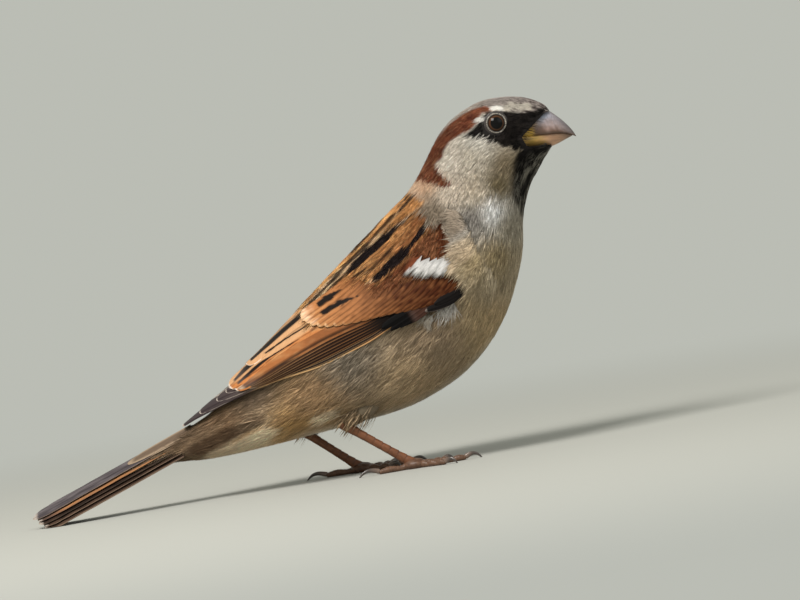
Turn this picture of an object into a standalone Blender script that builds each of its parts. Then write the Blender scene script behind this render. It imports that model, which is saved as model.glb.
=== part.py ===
"""House sparrow, adult male, standing: a still, life-size model in named pieces.

Blender units are metres. +X is the way the bird faces, +Y its left side, +Z up, and the floor is z = 0.
Every size below is in millimetres, measured from a point on the floor between the feet. The root empty
then moves the whole bird along X, so that the origin is under the middle of its length.
"""

import math

import bmesh
import bpy
import numpy as np
from mathutils import Vector

MM = 0.001
GAP = 0.3  # clearance between neighbouring pieces
BILL_TIP_X = 50.7
BILL_ROOT_X = 36.6
TAIL_TIP_X = -95.2
SIDES = (("right", -1.0), ("left", 1.0))

# Body: sections from the tail coverts to the bill. Each is the point on the back, the point on the
# underside (both x, z in the plane of symmetry), and the half width.
BODY = (
    ("coverts tip", (-57.5, 16.9), (-61.0, 10.3), 4.2),
    ("coverts", (-48.5, 20.9), (-50.5, 9.9), 6.2),
    ("rump", (-39.5, 26.8), (-38.5, 10.4), 8.4),
    ("vent", (-29.5, 34.5), (-25.0, 11.6), 11.8),
    ("belly rear", (-19.8, 42.5), (-10.5, 13.0), 15.6),
    ("belly", (-10.2, 51.7), (3.0, 15.4), 17.6),
    ("keel", (-1.2, 58.9), (16.0, 21.6), 18.4),
    ("breast", (5.2, 63.7), (25.9, 31.8), 17.8),
    ("shoulder", (10.0, 68.3), (32.6, 45.5), 15.4),
    ("neck base", (13.1, 72.4), (34.9, 56.3), 12.8),
    ("neck", (17.0, 77.8), (37.7, 63.0), 10.9),
    ("nape", (20.5, 81.2), (39.4, 65.2), 10.2),
    ("ear", (24.6, 83.5), (40.9, 67.1), 9.8),
    ("crown", (29.6, 85.1), (42.5, 69.1), 9.4),
    ("eye", (35.3, 85.1), (43.6, 69.9), 8.8),
    ("lores", (40.0, 84.1), (44.0, 70.5), 7.7),
    ("forehead", (43.4, 82.3), (44.4, 70.7), 6.8),
    ("bill base", (45.5, 80.6), (44.9, 70.9), 6.0),
)
BODY_BOXINESS = 2.15  # superellipse exponent of a section
FACE_TAPER = ((28, 1.0), (34, 0.95), (38, 0.78), (42, 0.66), (46, 0.58))  # share of the width, over x
RING = 24  # points round a section
HEAD_FROM, NECK_FROM, TRUNK_FROM = 9.9, 8.6, 2.1  # where the cuts lie, in section numbers

# Bill. The feathered face ends on this line in side view, from over the culmen to under the chin.
FACE_LINE = ((60, 86.6), (45.4, 80.35), (43.4, 79.5), (36.9, 74.8), (38.0, 71.6), (44.8, 70.9), (60, 70.9))
CULMEN = ((36.5, 80.9), (41.0, 81.3), (44.8, 80.2), (46.9, 78.4), (48.9, 76.1), (50.2, 74.1), (50.7, 72.9))
TOMIUM = ((36.5, 74.9), (40.6, 74.7), (43.9, 74.5), (47.2, 74.2), (49.6, 73.4), (50.7, 72.8))
GONYS = ((36.5, 72.1), (40.1, 71.8), (43.8, 71.3), (45.8, 71.7), (47.8, 72.4), (49.8, 73.1))
UPPER_WIDTH = ((36.5, 3.9), (41.0, 3.7), (44.0, 3.2), (47.0, 2.2), (49.0, 1.25), (50.2, 0.55), (50.7, 0.08))
LOWER_WIDTH = ((36.5, 3.8), (41.0, 3.4), (44.0, 2.8), (47.0, 1.7), (49.0, 0.6), (49.8, 0.08))

EYE_AT = (31.7, 79.2)
EYEBALL = 2.6
EYE_OPENING = 2.1

# Wing frame: s runs from the bend of the wing to the wing tip, h up across it.
WING_BEND = np.array((19.0, 47.3))
WING_TIP = np.array((-55.9, 19.5))
WING_LENGTH = float(np.linalg.norm(WING_TIP - WING_BEND))
ALONG = (WING_TIP - WING_BEND) / WING_LENGTH
ACROSS = np.array((ALONG[1], -ALONG[0]))
# The folded wings form an arch over the back. At each s: its ridge and its lower edge (h), its half
# width, and how far from the plane of symmetry the wing begins, beside the mantle.
RIDGE = ((-5, 26.5), (1, 22.8), (7, 20.3), (13, 18.5), (27, 14.3), (41, 10), (54, 5.8), (67, 2.7), (80, 0.2))
LOW_EDGE = ((-5, -2.0), (2, -5.3), (8, -6.9), (27, -5.2), (41, -4.6), (51, -3.3), (61, -1.4), (80, -0.6))
HALF_WIDTH = ((-5, 14.2), (2, 17.6), (12, 19.6), (27, 18.6), (41, 15.4), (54, 12.0), (67, 7.8), (80, 3.4))
MANTLE = ((-5, 9.5), (5, 8.5), (15, 6.5), (27, 3.5), (34, 1.5), (38, 0.45), (80, 0.45))
THICKNESS = ((-5, 1.6), (20, 1.6), (60, 1.0), (80, 0.6))
# Lines between the feather groups of the wing, as h over s.
SCAPULAR_LINE = ((-5, 13.6), (10, 11.5), (22, 9.0), (30, 7.6), (41, 8.3))
BAR_LINE = ((-5, 0.6), (1.6, 2.0), (14.2, 4.5), (30, 7.2), (31, 7.65), (41, 8.3))
COVERT_LINE = ((2, -2.6), (11.7, -3.4), (19.3, -1.9), (26.3, 0.7), (39.5, 5.6), (64.6, 1.1))
SECONDARY_LINE = ((14, -3.2), (25.4, -3.5), (62, 0.2), (64.6, 1.1))
ALULA_END = 14.3
PRIMARY_COVERT_END = 25.4
SCAPULAR_END = 41.0
TERTIAL_END = 64.6

# Tail: four layers a side, laid like roof tiles. Each is one feather, or two that lie as one.
TAIL_LAYERS = ("rectrix_1", "rectrices_2_3", "rectrices_4_5", "rectrix_6")
TAIL_ROOT = (-58.1, 17.2)
TAIL_TIP = (TAIL_TIP_X, 4.0)
ROOT_LEAN = 0.53  # how far back the tail's root moves for each millimetre down
TAIL_STEPS = (1.2, 0.85)  # from one layer down to the next, at the root and at the tip
ROOF_SLOPE = 0.55
TAIL_HALF_WIDTHS = ((3.4, 4.0), (3.9, 4.9), (4.3, 5.8), (4.6, 6.7))  # of each layer, root and tip
TIP_STEP = 0.9  # each layer ends this far short of the one above

# Legs: ankle and foot joints as (x, distance from the plane of symmetry, z), for each side.
KNEE = {"right": (2.5, 8.0, 22.5), "left": (-9.0, 8.0, 22.0)}
ANKLE = {"right": (-17.0, 9.0, 13.5), "left": (-28.0, 9.0, 13.3)}
FOOT = {"right": (-1.6, 10.5, 1.3), "left": (-14.6, 10.5, 1.3)}
TIBIA_RADII = (5.4, 1.75)
TARSUS_RADIUS = 1.1
PAD = (3.0, 2.4, 1.5)
# Toe: turn from straight ahead (outwards positive), length to the claw, knuckles, claw length.
TOES = {
    "hallux": (172.0, 8.6, 1, 6.2),
    "inner_toe": (-34.0, 9.0, 2, 4.2),
    "middle_toe": (-2.0, 13.0, 3, 4.8),
    "outer_toe": (33.0, 9.4, 3, 4.2),
}
TOE_RADII = (0.82, 0.66)
TOE_START = 1.6  # inside the edge of the foot pad, which is cut away
CLAW_RADIUS = 0.6
CLAW_ARC = math.radians(68)

COLOURS = {
    "plumage_grey": (0.42, 0.36, 0.27, 0.85, 0.0),
    "plumage_brown": (0.30, 0.11, 0.04, 0.85, 0.0),
    "flight_feather": (0.10, 0.06, 0.04, 0.7, 0.0),
    "bill_horn": (0.24, 0.19, 0.17, 0.4, 0.0),
    "eye": (0.02, 0.012, 0.008, 0.05, 0.0),
    "leg_skin": (0.22, 0.11, 0.07, 0.55, 0.0),
    "claw_horn": (0.05, 0.04, 0.035, 0.4, 0.0),
}


def material(name):
    found = bpy.data.materials.get(name)
    if found:
        return found
    made = bpy.data.materials.new(name)
    made.use_nodes = True
    shader = made.node_tree.nodes["Principled BSDF"]
    red, green, blue, roughness, metallic = COLOURS[name]
    shader.inputs["Base Color"].default_value = (red, green, blue, 1.0)
    shader.inputs["Roughness"].default_value = roughness
    shader.inputs["Metallic"].default_value = metallic
    return made


def add(name, build, colour, root):
    """A new object from a bmesh in millimetres, closed and facing out."""
    bmesh.ops.remove_doubles(build, verts=build.verts, dist=1e-4)
    bmesh.ops.recalc_face_normals(build, faces=build.faces)
    bmesh.ops.scale(build, vec=(MM, MM, MM), verts=build.verts)
    mesh = bpy.data.meshes.new(name)
    build.to_mesh(mesh)
    build.free()
    mesh.shade_smooth()
    mesh.set_sharp_from_angle(angle=math.radians(40))
    obj = bpy.data.objects.new(name, mesh)
    obj.data.materials.append(material(colour))
    bpy.context.scene.collection.objects.link(obj)
    obj.parent = root
    return obj


def cutter(name, build, root):
    obj = add(name, build, "plumage_grey", root)
    obj.hide_render = True
    obj.display_type = "WIRE"
    return obj


def cut(obj, other):
    boolean = obj.modifiers.new("cut by " + other.name, "BOOLEAN")
    boolean.operation = "DIFFERENCE"
    boolean.solver = "EXACT"
    boolean.object = other


def loft(rings):
    """A closed bmesh through rings of equal length, with a fan of triangles at each end."""
    build = bmesh.new()
    rows = [[build.verts.new(point) for point in ring] for ring in rings]
    for near, far in zip(rows, rows[1:]):
        for i in range(len(near)):
            j = (i + 1) % len(near)
            build.faces.new((near[i], near[j], far[j], far[i]))
    for row in (rows[0], rows[-1]):
        middle = build.verts.new(sum((v.co for v in row), Vector()) / len(row))
        for i in range(len(row)):
            build.faces.new((row[i], row[(i + 1) % len(row)], middle))
    return build


def smooth(table, x):
    """A table of (x, y) pairs read at x by monotone cubic interpolation."""
    xs = np.array([p[0] for p in table], float)
    ys = np.array([p[1] for p in table], float)
    slopes = np.diff(ys) / np.diff(xs)
    tangents = np.zeros(len(xs))
    tangents[0] = slopes[0]
    tangents[-1] = slopes[-1]
    same = slopes[:-1] * slopes[1:] > 0
    tangents[1:-1][same] = 2 * slopes[:-1][same] * slopes[1:][same] / (slopes[:-1] + slopes[1:])[same]
    x = np.clip(np.asarray(x, float), xs[0], xs[-1])
    k = np.clip(np.searchsorted(xs, x) - 1, 0, len(xs) - 2)
    width = xs[k + 1] - xs[k]
    t = (x - xs[k]) / width
    return (
        (2 * t**3 - 3 * t**2 + 1) * ys[k]
        + (t**3 - 2 * t**2 + t) * width * tangents[k]
        + (3 * t**2 - 2 * t**3) * ys[k + 1]
        + (t**3 - t**2) * width * tangents[k + 1]
    )


def straight(table, x):
    return np.interp(x, [p[0] for p in table], [p[1] for p in table])


# ---------------------------------------------------------------- body


def body_section(u):
    """(back point, underside point, half width) at section number u, by a Catmull-Rom curve."""
    rows = np.array([(*back, *under, width) for _, back, under, width in BODY])
    last = len(rows) - 1
    k = min(max(int(u), 0), last - 1)
    t = u - k
    before, here, there, after = (rows[min(max(i, 0), last)] for i in (k - 1, k, k + 1, k + 2))
    row = 0.5 * (
        2 * here
        + (there - before) * t
        + (2 * before - 5 * here + 4 * there - after) * t**2
        + (3 * here - before - 3 * there + after) * t**3
    )
    return row[:2], row[2:4], row[4]


def body_ring(u, count=RING):
    back, under, width = body_section(u)
    middle = (back + under) / 2
    half = (back - under) / 2
    ring = []
    for i in range(count):
        angle = 2 * math.pi * i / count
        up, out = math.cos(angle), math.sin(angle)
        up = math.copysign(abs(up) ** (2 / BODY_BOXINESS), up)
        out = math.copysign(abs(out) ** (2 / BODY_BOXINESS), out)
        x, z = middle + half * up
        ring.append((x, width * out * float(smooth(FACE_TAPER, x)), z))
    return ring


def body_half_width(x, z):
    """How far the body's side is from the plane of symmetry at (x, z)."""
    point = np.array((x, z))

    def side(u):
        back, under, _ = body_section(u)
        line, to = back - under, point - under
        return line[0] * to[1] - line[1] * to[0]

    low, high = 0.0, float(len(BODY) - 1)
    for _ in range(40):
        mid = (low + high) / 2
        low, high = (low, mid) if side(mid) > 0 else (mid, high)
    back, under, width = body_section(low)
    line = back - under
    rise = min(1.0, abs(2 * float((point - under) @ line) / float(line @ line) - 1))
    return width * (1 - rise**BODY_BOXINESS) ** (1 / BODY_BOXINESS) * float(smooth(FACE_TAPER, x))


def half_gap(u):
    """Half a gap at section number u, in section numbers, where the sections are closest together."""
    step = 0.05
    moved = [a - b for a, b in zip(body_section(u + step)[:2], body_section(u - step)[:2])]
    return GAP / 2 / (min(np.linalg.norm(move) for move in moved) / (2 * step))


def body_piece(name, first, last, sections, root):
    """The body between two section numbers, with half a gap off each cut end."""
    start = first + half_gap(first) * (first > 0)
    end = last - half_gap(last) * (last < len(BODY) - 1)
    rings = [body_ring(u) for u in np.linspace(start, end, sections)]
    return add(name, loft(rings), "plumage_grey", root)


def prism(outline, half_width):
    """A closed prism across the plane of symmetry, from its outline in side view."""
    build = bmesh.new()
    near = [build.verts.new((x, -half_width, z)) for x, z in outline]
    far = [build.verts.new((x, half_width, z)) for x, z in outline]
    build.faces.new(near)
    build.faces.new(far[::-1])
    for i in range(len(outline)):
        j = (i + 1) % len(outline)
        build.faces.new((near[j], near[i], far[i], far[j]))
    bmesh.ops.triangulate(build, faces=build.faces)
    return build


def ellipsoid(centre, radii, segments=14, rows=8):
    build = bmesh.new()
    bmesh.ops.create_uvsphere(build, u_segments=segments, v_segments=rows, radius=1.0)
    bmesh.ops.scale(build, vec=radii, verts=build.verts)
    bmesh.ops.translate(build, vec=centre, verts=build.verts)
    return build


# ---------------------------------------------------------------- head


def eye_centre(sign):
    side = body_half_width(*EYE_AT)
    depth = math.sqrt(EYEBALL**2 - EYE_OPENING**2)
    return (EYE_AT[0], sign * (side - depth), EYE_AT[1])


def mandible(xs, top, bottom, width, domed_up):
    """Half-round sections along x, with the flat side on the tomium."""
    count = 11
    rings = []
    for x in xs:
        high, low, half = (float(smooth(table, x)) for table in (top, bottom, width))
        flat, crown = (low, high) if domed_up else (high, low)
        flat += GAP / 2 if domed_up else -GAP / 2
        ring = []
        for i in range(count):
            angle = math.pi * i / (count - 1)
            rise = max(0.0, math.sin(angle)) ** 0.9
            ring.append((x, half * math.cos(angle), flat + (crown - flat) * rise))
        rings.append(ring)
    return loft(rings)


def make_bill(root):
    """Upper and lower mandible, each cut back to the face line with a gap."""
    forehead = [(x + 0.6 * GAP, z - 0.9 * GAP) for x, z in FACE_LINE[:4]]
    chin = [(x + GAP, z + GAP) for x, z in FACE_LINE[4:]]
    behind = [(20.0, 60.0), (20.0, 95.0), (60.0, 95.0), *forehead, *chin, (60.0, 60.0)]
    face = cutter("cutter_face", prism(behind, 14.0), root)
    upper = mandible(np.linspace(BILL_ROOT_X, BILL_TIP_X, 11), CULMEN, TOMIUM, UPPER_WIDTH, True)
    lower = mandible(np.linspace(BILL_ROOT_X, GONYS[-1][0], 9), TOMIUM, GONYS, LOWER_WIDTH, False)
    cut(add("bill_upper", upper, "bill_horn", root), face)
    cut(add("bill_lower", lower, "bill_horn", root), face)


def make_head_and_neck(root):
    head = body_piece("head", HEAD_FROM, len(BODY) - 1, 13, root)
    cut(head, cutter("cutter_bill", prism(FACE_LINE, 12.0), root))
    for side, sign in SIDES:
        centre = eye_centre(sign)
        add("eye_" + side, ellipsoid(centre, (EYEBALL,) * 3), "eye", root)
        socket = (EYEBALL + GAP,) * 3
        cut(head, cutter("cutter_socket_" + side, ellipsoid(centre, socket), root))
    body_piece("neck", NECK_FROM, HEAD_FROM, 5, root)


# ---------------------------------------------------------------- wings


def arch(s, height):
    """The point of the arch at (s, height), as an array, for the left side."""
    ridge, edge, half = (float(smooth(t, s)) for t in (RIDGE, LOW_EDGE, HALF_WIDTH))
    rise = min(1.0, max(0.0, (height - edge) / (ridge - edge)))
    x, z = WING_BEND + ALONG * s + ACROSS * height
    return np.array((x, half * math.sqrt(1 - rise**2), z))


def wing_top(s):
    """Height of the wing's upper border, where the arch is as wide as the mantle."""
    ridge, edge, half = (float(smooth(t, s)) for t in (RIDGE, LOW_EDGE, HALF_WIDTH))
    share = min(0.98, float(straight(MANTLE, s)) / half)
    return edge + (ridge - edge) * math.sqrt(1 - share**2)


def arch_normal(s, height):
    step = 0.05
    low = float(smooth(LOW_EDGE, s))
    height = max(height, low + 2 * step)
    height = min(height, wing_top(s) - step)
    forward = arch(s + step, height) - arch(s - step, height)
    upward = arch(s, height + step) - arch(s, height - step)
    normal = np.cross(forward, upward)
    normal /= np.linalg.norm(normal)
    return normal if normal[1] > 0 else -normal


def wing_ring(sign, s, upper, lower, rows=4, outer=0.0, extra=0.0, inner=GAP / 2):
    """A cross-section of a shell over the arch at s, between two lines h(s).
    outer lifts its outer face, extra thickens it inwards, and inner is its least y."""
    low, high = float(lower(s)), float(upper(s))
    thick = float(straight(THICKNESS, s)) + extra
    # Even steps of angle round the arch keep the rows apart near the ridge.
    ridge, edge = float(smooth(RIDGE, s)), float(smooth(LOW_EDGE, s))
    start, end = (math.acos(min(1.0, max(0.0, (h - edge) / (ridge - edge)))) for h in (high, low))
    heights = [edge + (ridge - edge) * math.cos(a) for a in np.linspace(end, start, rows)]
    heights[0] = low
    outside, inside = [], []
    for height in heights:
        point, normal = arch(s, height), arch_normal(s, height)
        outside.append(point + normal * outer)
        inside.append(point - normal * thick)
    return [(p[0], sign * max(p[1], inner), p[2]) for p in outside + inside[::-1]]


def between(table, shift):
    return lambda s: straight(table, s) + shift


def stations(first, last, count, *tables):
    """Even steps along the wing, with every corner of the given lines that lies between the ends."""
    corners = [s for table in tables for s, _ in table if first < s < last]
    steps = [s for s in np.linspace(first, last, count) if all(abs(s - c) > 1.0 for c in corners)]
    return sorted({first, last, *corners, *steps})


def make_wing(side, sign, root):
    half = GAP / 2
    brown, dark = "plumage_brown", "flight_feather"
    ridge = None  # a tile with no upper line reaches the wing's upper border
    tiles = {
        "scapulars": (-2.0, SCAPULAR_END, ridge, SCAPULAR_LINE, 9, brown),
        "shoulder_coverts": (-3.0, 28.0, SCAPULAR_LINE, BAR_LINE, 6, brown),
        "greater_coverts": (2.2, SCAPULAR_END, BAR_LINE, COVERT_LINE, 7, brown),
        "alula": (3.0, ALULA_END, COVERT_LINE, LOW_EDGE, 4, dark),
        "primary_coverts": (ALULA_END + GAP, PRIMARY_COVERT_END, SECONDARY_LINE, LOW_EDGE, 4, dark),
        "secondaries": (19.3, 60.5, COVERT_LINE, SECONDARY_LINE, 8, brown),
        "tertials": (SCAPULAR_END + GAP, TERTIAL_END, ridge, COVERT_LINE, 7, brown),
    }
    for name, (first, last, above, below, count, colour) in tiles.items():
        upper = between(above, -half) if above else wing_top
        lower = between(below, 0.0 if below is LOW_EDGE else half)
        steps = stations(first, last, count, *(line for line in (above, below) if line))
        tile = loft([wing_ring(sign, s, upper, lower) for s in steps])
        add(f"{name}_{side}", tile, colour, root)

    # The primaries run below the secondaries, then step up to the ridge past the tertials' tips.
    upper, lower = between(SECONDARY_LINE, -half), between(LOW_EDGE, 0.0)
    under = stations(PRIMARY_COVERT_END + GAP, TERTIAL_END, 7, SECONDARY_LINE, LOW_EDGE)
    past = stations(TERTIAL_END + 1.3 * GAP, WING_LENGTH, 5, LOW_EDGE)
    rings = [wing_ring(sign, s, upper, lower) for s in under]
    rings += [wing_ring(sign, s, wing_top, lower) for s in past]
    add("primaries_" + side, loft(rings), dark, root)


def wing_pocket(side, sign, root):
    """What the wing takes out of the trunk: its own room, a gap, and all that would stand over it."""

    def top(s):
        return min(wing_top(s) + GAP, float(smooth(RIDGE, s)) - 0.02)

    low = between(LOW_EDGE, -2 * GAP)
    room = {"rows": 6, "outer": 5.0, "extra": 2.5 * GAP, "inner": -GAP}
    steps = stations(-3.4, WING_LENGTH, 20, LOW_EDGE)
    tile = loft([wing_ring(sign, s, top, low, **room) for s in steps])
    return cutter("cutter_wing_" + side, tile, root)


# ---------------------------------------------------------------- tail


def make_tail_layer(number, side, sign, root):
    """One layer: a thin plate from the coverts to a blunt tip, drooping to the side."""
    fall = (TAIL_ROOT[1] - TAIL_TIP[1]) / (TAIL_ROOT[0] - TAIL_TIP[0])
    end = TAIL_TIP[0] + TIP_STEP * number
    rings = []
    for share in (0.0, 0.2, 0.4, 0.6, 0.8, 0.9, 0.96, 1.0):
        step = TAIL_STEPS[0] + (TAIL_STEPS[1] - TAIL_STEPS[0]) * share
        outer = TAIL_HALF_WIDTHS[number][0] * (1 - share) + TAIL_HALF_WIDTHS[number][1] * share
        blunt = max(0.0, (share - 0.8) / 0.2)
        outer *= 1 - 0.6 * blunt**2
        top, bottom = [], []
        for y in np.linspace(GAP / 2, outer, 3):
            for row, layers, gap in ((top, number, 0.0), (bottom, number + 1, GAP)):
                start = TAIL_ROOT[0] - ROOT_LEAN * (TAIL_STEPS[0] * layers + ROOF_SLOPE * y)
                x = start + (end - start) * share
                drop = step * layers - gap + ROOF_SLOPE * y
                row.append((x, sign * y, TAIL_ROOT[1] - fall * (TAIL_ROOT[0] - x) - drop))
        rings.append(top + bottom[::-1])
    build = flattened(loft(rings))
    add(f"{TAIL_LAYERS[number]}_{side}", build, "flight_feather", root)


# ---------------------------------------------------------------- legs


def tube(points, radii, sides=10):
    """A round tube along a polyline, with its own radius at each point."""
    points = [Vector(p) for p in points]
    rings = []
    for i, (point, radius) in enumerate(zip(points, [float(r) for r in radii])):
        ahead = points[min(i + 1, len(points) - 1)] - points[max(i - 1, 0)]
        out = ahead.cross(Vector((0, 0, 1)))
        if out.length < 1e-6:
            out = Vector((0, 1, 0))
        out.normalize()
        up = out.cross(ahead).normalized()
        angles = [2 * math.pi * j / sides for j in range(sides)]
        rings.append([point + (out * math.cos(a) + up * math.sin(a)) * radius for a in angles])
    return loft(rings)


def flattened(build):
    """Cut off below the floor, which leaves a small flat to stand on."""
    geometry = build.verts[:] + build.edges[:] + build.faces[:]
    plane = {"plane_co": (0, 0, 0), "plane_no": (0, 0, -1)}
    bmesh.ops.bisect_plane(build, geom=geometry, clear_outer=True, **plane)
    edges = [e for e in build.edges if e.is_boundary]
    if edges:
        bmesh.ops.contextual_create(build, geom=edges)
    return build


def joint_of(table, side, sign):
    x, out, z = table[side]
    return Vector((x, sign * out, z))


def make_toe(name, side, sign, root, pad):
    turn, length, knuckles, claw = TOES[name]
    joint = joint_of(FOOT, side, sign)
    angle = math.radians(turn) * sign
    ahead = Vector((math.cos(angle), math.sin(angle), 0))
    steps = 3 * knuckles + 3
    points, radii = [], []
    for i in range(steps):
        share = i / (steps - 1)
        radius = TOE_RADII[0] + (TOE_RADII[1] - TOE_RADII[0]) * share
        radius *= 1 + 0.13 * math.cos(2 * math.pi * share * (knuckles + 0.5))
        along = TOE_START + (length - TOE_START) * share
        points.append(Vector((joint.x, joint.y, 0)) + ahead * along + Vector((0, 0, radius * 0.94)))
        radii.append(radius)
    toe = add(f"{name}_{side}", flattened(tube(points, radii, 8)), "leg_skin", root)
    cut(toe, pad)

    claw_points, claw_radii = [], []
    for i in range(5):
        share = i / 4
        radius = CLAW_RADIUS * (1 - share) ** 0.75 + 0.06
        lift = 0.75 + 0.68 * math.sin(math.pi * min(1.0, share * 1.15)) - 0.72 * share**2
        along = length + GAP + 0.78 * claw * math.sin(CLAW_ARC * share) / math.sin(CLAW_ARC)
        claw_points.append(Vector((joint.x, joint.y, 0)) + ahead * along + Vector((0, 0, lift)))
        claw_radii.append(radius)
    add(f"claw_{name}_{side}", flattened(tube(claw_points, claw_radii, 8)), "claw_horn", root)


def make_leg(side, sign, root, trunk):
    knee, ankle, foot = (joint_of(table, side, sign) for table in (KNEE, ANKLE, FOOT))
    shares = np.linspace(0.0, 1.0, 7)
    thigh_points = [knee.lerp(ankle, share * 0.97) for share in shares]
    bulge = [TIBIA_RADII[0] + (TIBIA_RADII[1] - TIBIA_RADII[0]) * share**1.1 for share in shares]
    add("thigh_" + side, tube(thigh_points, bulge, 14), "plumage_grey", root)
    room = tube(
        [thigh_points[0] + (knee - ankle).normalized() * GAP, *thigh_points[1:-1], ankle],
        [radius + GAP for radius in bulge],
        14,
    )
    cut(trunk, cutter("cutter_thigh_" + side, room, root))

    pad_centre = (foot.x + 0.4, foot.y, 0.95)
    pad = add("foot_" + side, flattened(ellipsoid(pad_centre, PAD, 14, 8)), "leg_skin", root)
    pad_room = ellipsoid(pad_centre, tuple(r + GAP for r in PAD), 14, 8)
    pad_cutter = cutter("cutter_pad_" + side, pad_room, root)

    start = ankle.lerp(foot, 0.03)
    shank = [start.lerp(foot, share) for share in np.linspace(0, 1, 6)]
    girth = [TARSUS_RADIUS * k for k in (1.2, 1.0, 0.92, 0.92, 1.0, 1.25)]
    tarsus = add("tarsus_" + side, tube(shank, girth, 10), "leg_skin", root)
    cut(tarsus, pad_cutter)
    thigh_end = tube([thigh_points[-2], ankle.lerp(foot, 0.028)], [bulge[-2] + GAP, bulge[-1] + GAP], 14)
    cut(tarsus, cutter("cutter_thigh_end_" + side, thigh_end, root))
    for name in TOES:
        make_toe(name, side, sign, root, pad_cutter)
    return pad


def main():
    for obj in list(bpy.data.objects):
        bpy.data.objects.remove(obj)
    root = bpy.data.objects.new("sparrow", None)
    bpy.context.scene.collection.objects.link(root)
    root.location = (-(BILL_TIP_X + TAIL_TIP_X) / 2 * MM, 0.0, 0.0)

    make_head_and_neck(root)
    make_bill(root)
    trunk = body_piece("trunk", TRUNK_FROM, NECK_FROM, 14, root)
    rump = body_piece("rump", 0, TRUNK_FROM, 5, root)
    neck = bpy.data.objects["neck"]
    for side, sign in SIDES:
        make_wing(side, sign, root)
        pocket = wing_pocket(side, sign, root)
        for obj in (trunk, rump, neck):
            cut(obj, pocket)
        make_leg(side, sign, root, trunk)
        for number in range(len(TAIL_LAYERS)):
            make_tail_layer(number, side, sign, root)


main()
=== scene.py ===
"""Looks of the house sparrow: feathers, bill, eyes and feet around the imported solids.

Sizes are in millimetres and places are in the bird's own frame, measured from a point on the floor
between the feet, as in the solids' source. placed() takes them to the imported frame, in metres.
"""

import itertools
import math

import bpy
import numpy as np
from mathutils import Matrix, Vector


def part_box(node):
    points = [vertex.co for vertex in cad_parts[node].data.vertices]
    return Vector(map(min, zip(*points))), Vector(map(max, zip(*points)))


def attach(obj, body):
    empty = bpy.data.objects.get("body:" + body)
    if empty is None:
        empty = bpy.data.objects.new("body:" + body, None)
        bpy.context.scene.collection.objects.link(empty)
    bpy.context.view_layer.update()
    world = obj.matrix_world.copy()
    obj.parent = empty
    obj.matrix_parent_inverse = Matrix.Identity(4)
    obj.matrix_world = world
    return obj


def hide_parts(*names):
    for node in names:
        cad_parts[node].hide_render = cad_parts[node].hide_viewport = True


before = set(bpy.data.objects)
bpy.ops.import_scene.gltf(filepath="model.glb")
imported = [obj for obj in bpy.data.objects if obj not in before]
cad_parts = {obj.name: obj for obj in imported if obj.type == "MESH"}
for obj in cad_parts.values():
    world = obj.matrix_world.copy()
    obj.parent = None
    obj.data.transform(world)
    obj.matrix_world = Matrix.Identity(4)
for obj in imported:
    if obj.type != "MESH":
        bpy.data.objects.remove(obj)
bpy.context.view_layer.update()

MM = 0.001
BILL_TIP_X = 50.7
BILL_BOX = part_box("bill_upper")
SHIFT_X = BILL_BOX[1].x - BILL_TIP_X * MM  # from the bird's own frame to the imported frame
SIDES = (("right", -1.0), ("left", 1.0))
SEED = 11

# ---------------------------------------------------------------- the solids' driving sizes

BODY = (
    ("coverts end", (-74.0, 10.8), (-77.0, 4.4), 3.0),
    ("coverts over the tail", (-66.0, 13.8), (-70.0, 6.5), 3.6),
    ("coverts tip", (-57.5, 16.9), (-61.0, 10.3), 4.2),
    ("coverts", (-48.5, 20.9), (-50.5, 9.9), 6.2),
    ("rump", (-39.5, 26.8), (-38.5, 10.4), 8.4),
    ("vent", (-29.5, 34.5), (-25.0, 11.6), 11.8),
    ("belly rear", (-19.8, 42.5), (-10.5, 13.0), 15.6),
    ("belly", (-10.2, 51.7), (3.0, 15.4), 17.6),
    ("keel", (-1.2, 58.9), (16.0, 21.6), 18.4),
    ("breast", (5.2, 63.7), (25.9, 31.8), 17.8),
    ("shoulder", (10.0, 68.3), (32.6, 45.5), 15.4),
    ("neck base", (13.1, 72.4), (34.9, 56.3), 12.8),
    ("neck", (17.0, 77.8), (37.7, 63.0), 10.9),
    ("nape", (20.5, 81.2), (39.4, 65.2), 10.2),
    ("ear", (24.6, 83.5), (40.9, 67.1), 9.8),
    ("crown", (29.6, 85.1), (42.5, 69.1), 9.4),
    ("eye", (35.3, 85.1), (43.6, 69.9), 8.8),
    ("lores", (40.0, 84.1), (44.0, 70.5), 7.7),
    ("forehead", (43.4, 82.3), (44.4, 70.7), 6.8),
    ("bill base", (45.5, 80.6), (44.9, 70.9), 6.0),
)
BODY_BOXINESS = 2.15
FACE_TAPER = ((28, 1.0), (34, 0.95), (38, 0.78), (42, 0.66), (46, 0.58))
CULMEN = ((36.5, 80.9), (41.0, 81.3), (44.8, 80.2), (46.9, 78.4), (48.9, 76.1), (50.2, 74.1), (50.7, 72.9))
TOMIUM = ((36.5, 74.9), (40.6, 74.7), (43.9, 74.5), (47.2, 74.2), (49.6, 73.4), (50.7, 72.8))
GONYS = ((36.5, 72.1), (40.1, 71.8), (43.8, 71.3), (45.8, 71.7), (47.8, 72.4), (49.8, 73.1))
UPPER_WIDTH = ((36.5, 3.9), (41.0, 3.7), (44.0, 3.2), (47.0, 2.2), (49.0, 1.25), (50.2, 0.55), (50.7, 0.08))
LOWER_WIDTH = ((36.5, 3.8), (41.0, 3.4), (44.0, 2.8), (47.0, 1.7), (49.0, 0.6), (49.8, 0.08))
EYE_AT = (31.7, 79.2)
EYEBALL = 2.6
EYE_OPENING = 2.1

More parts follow.
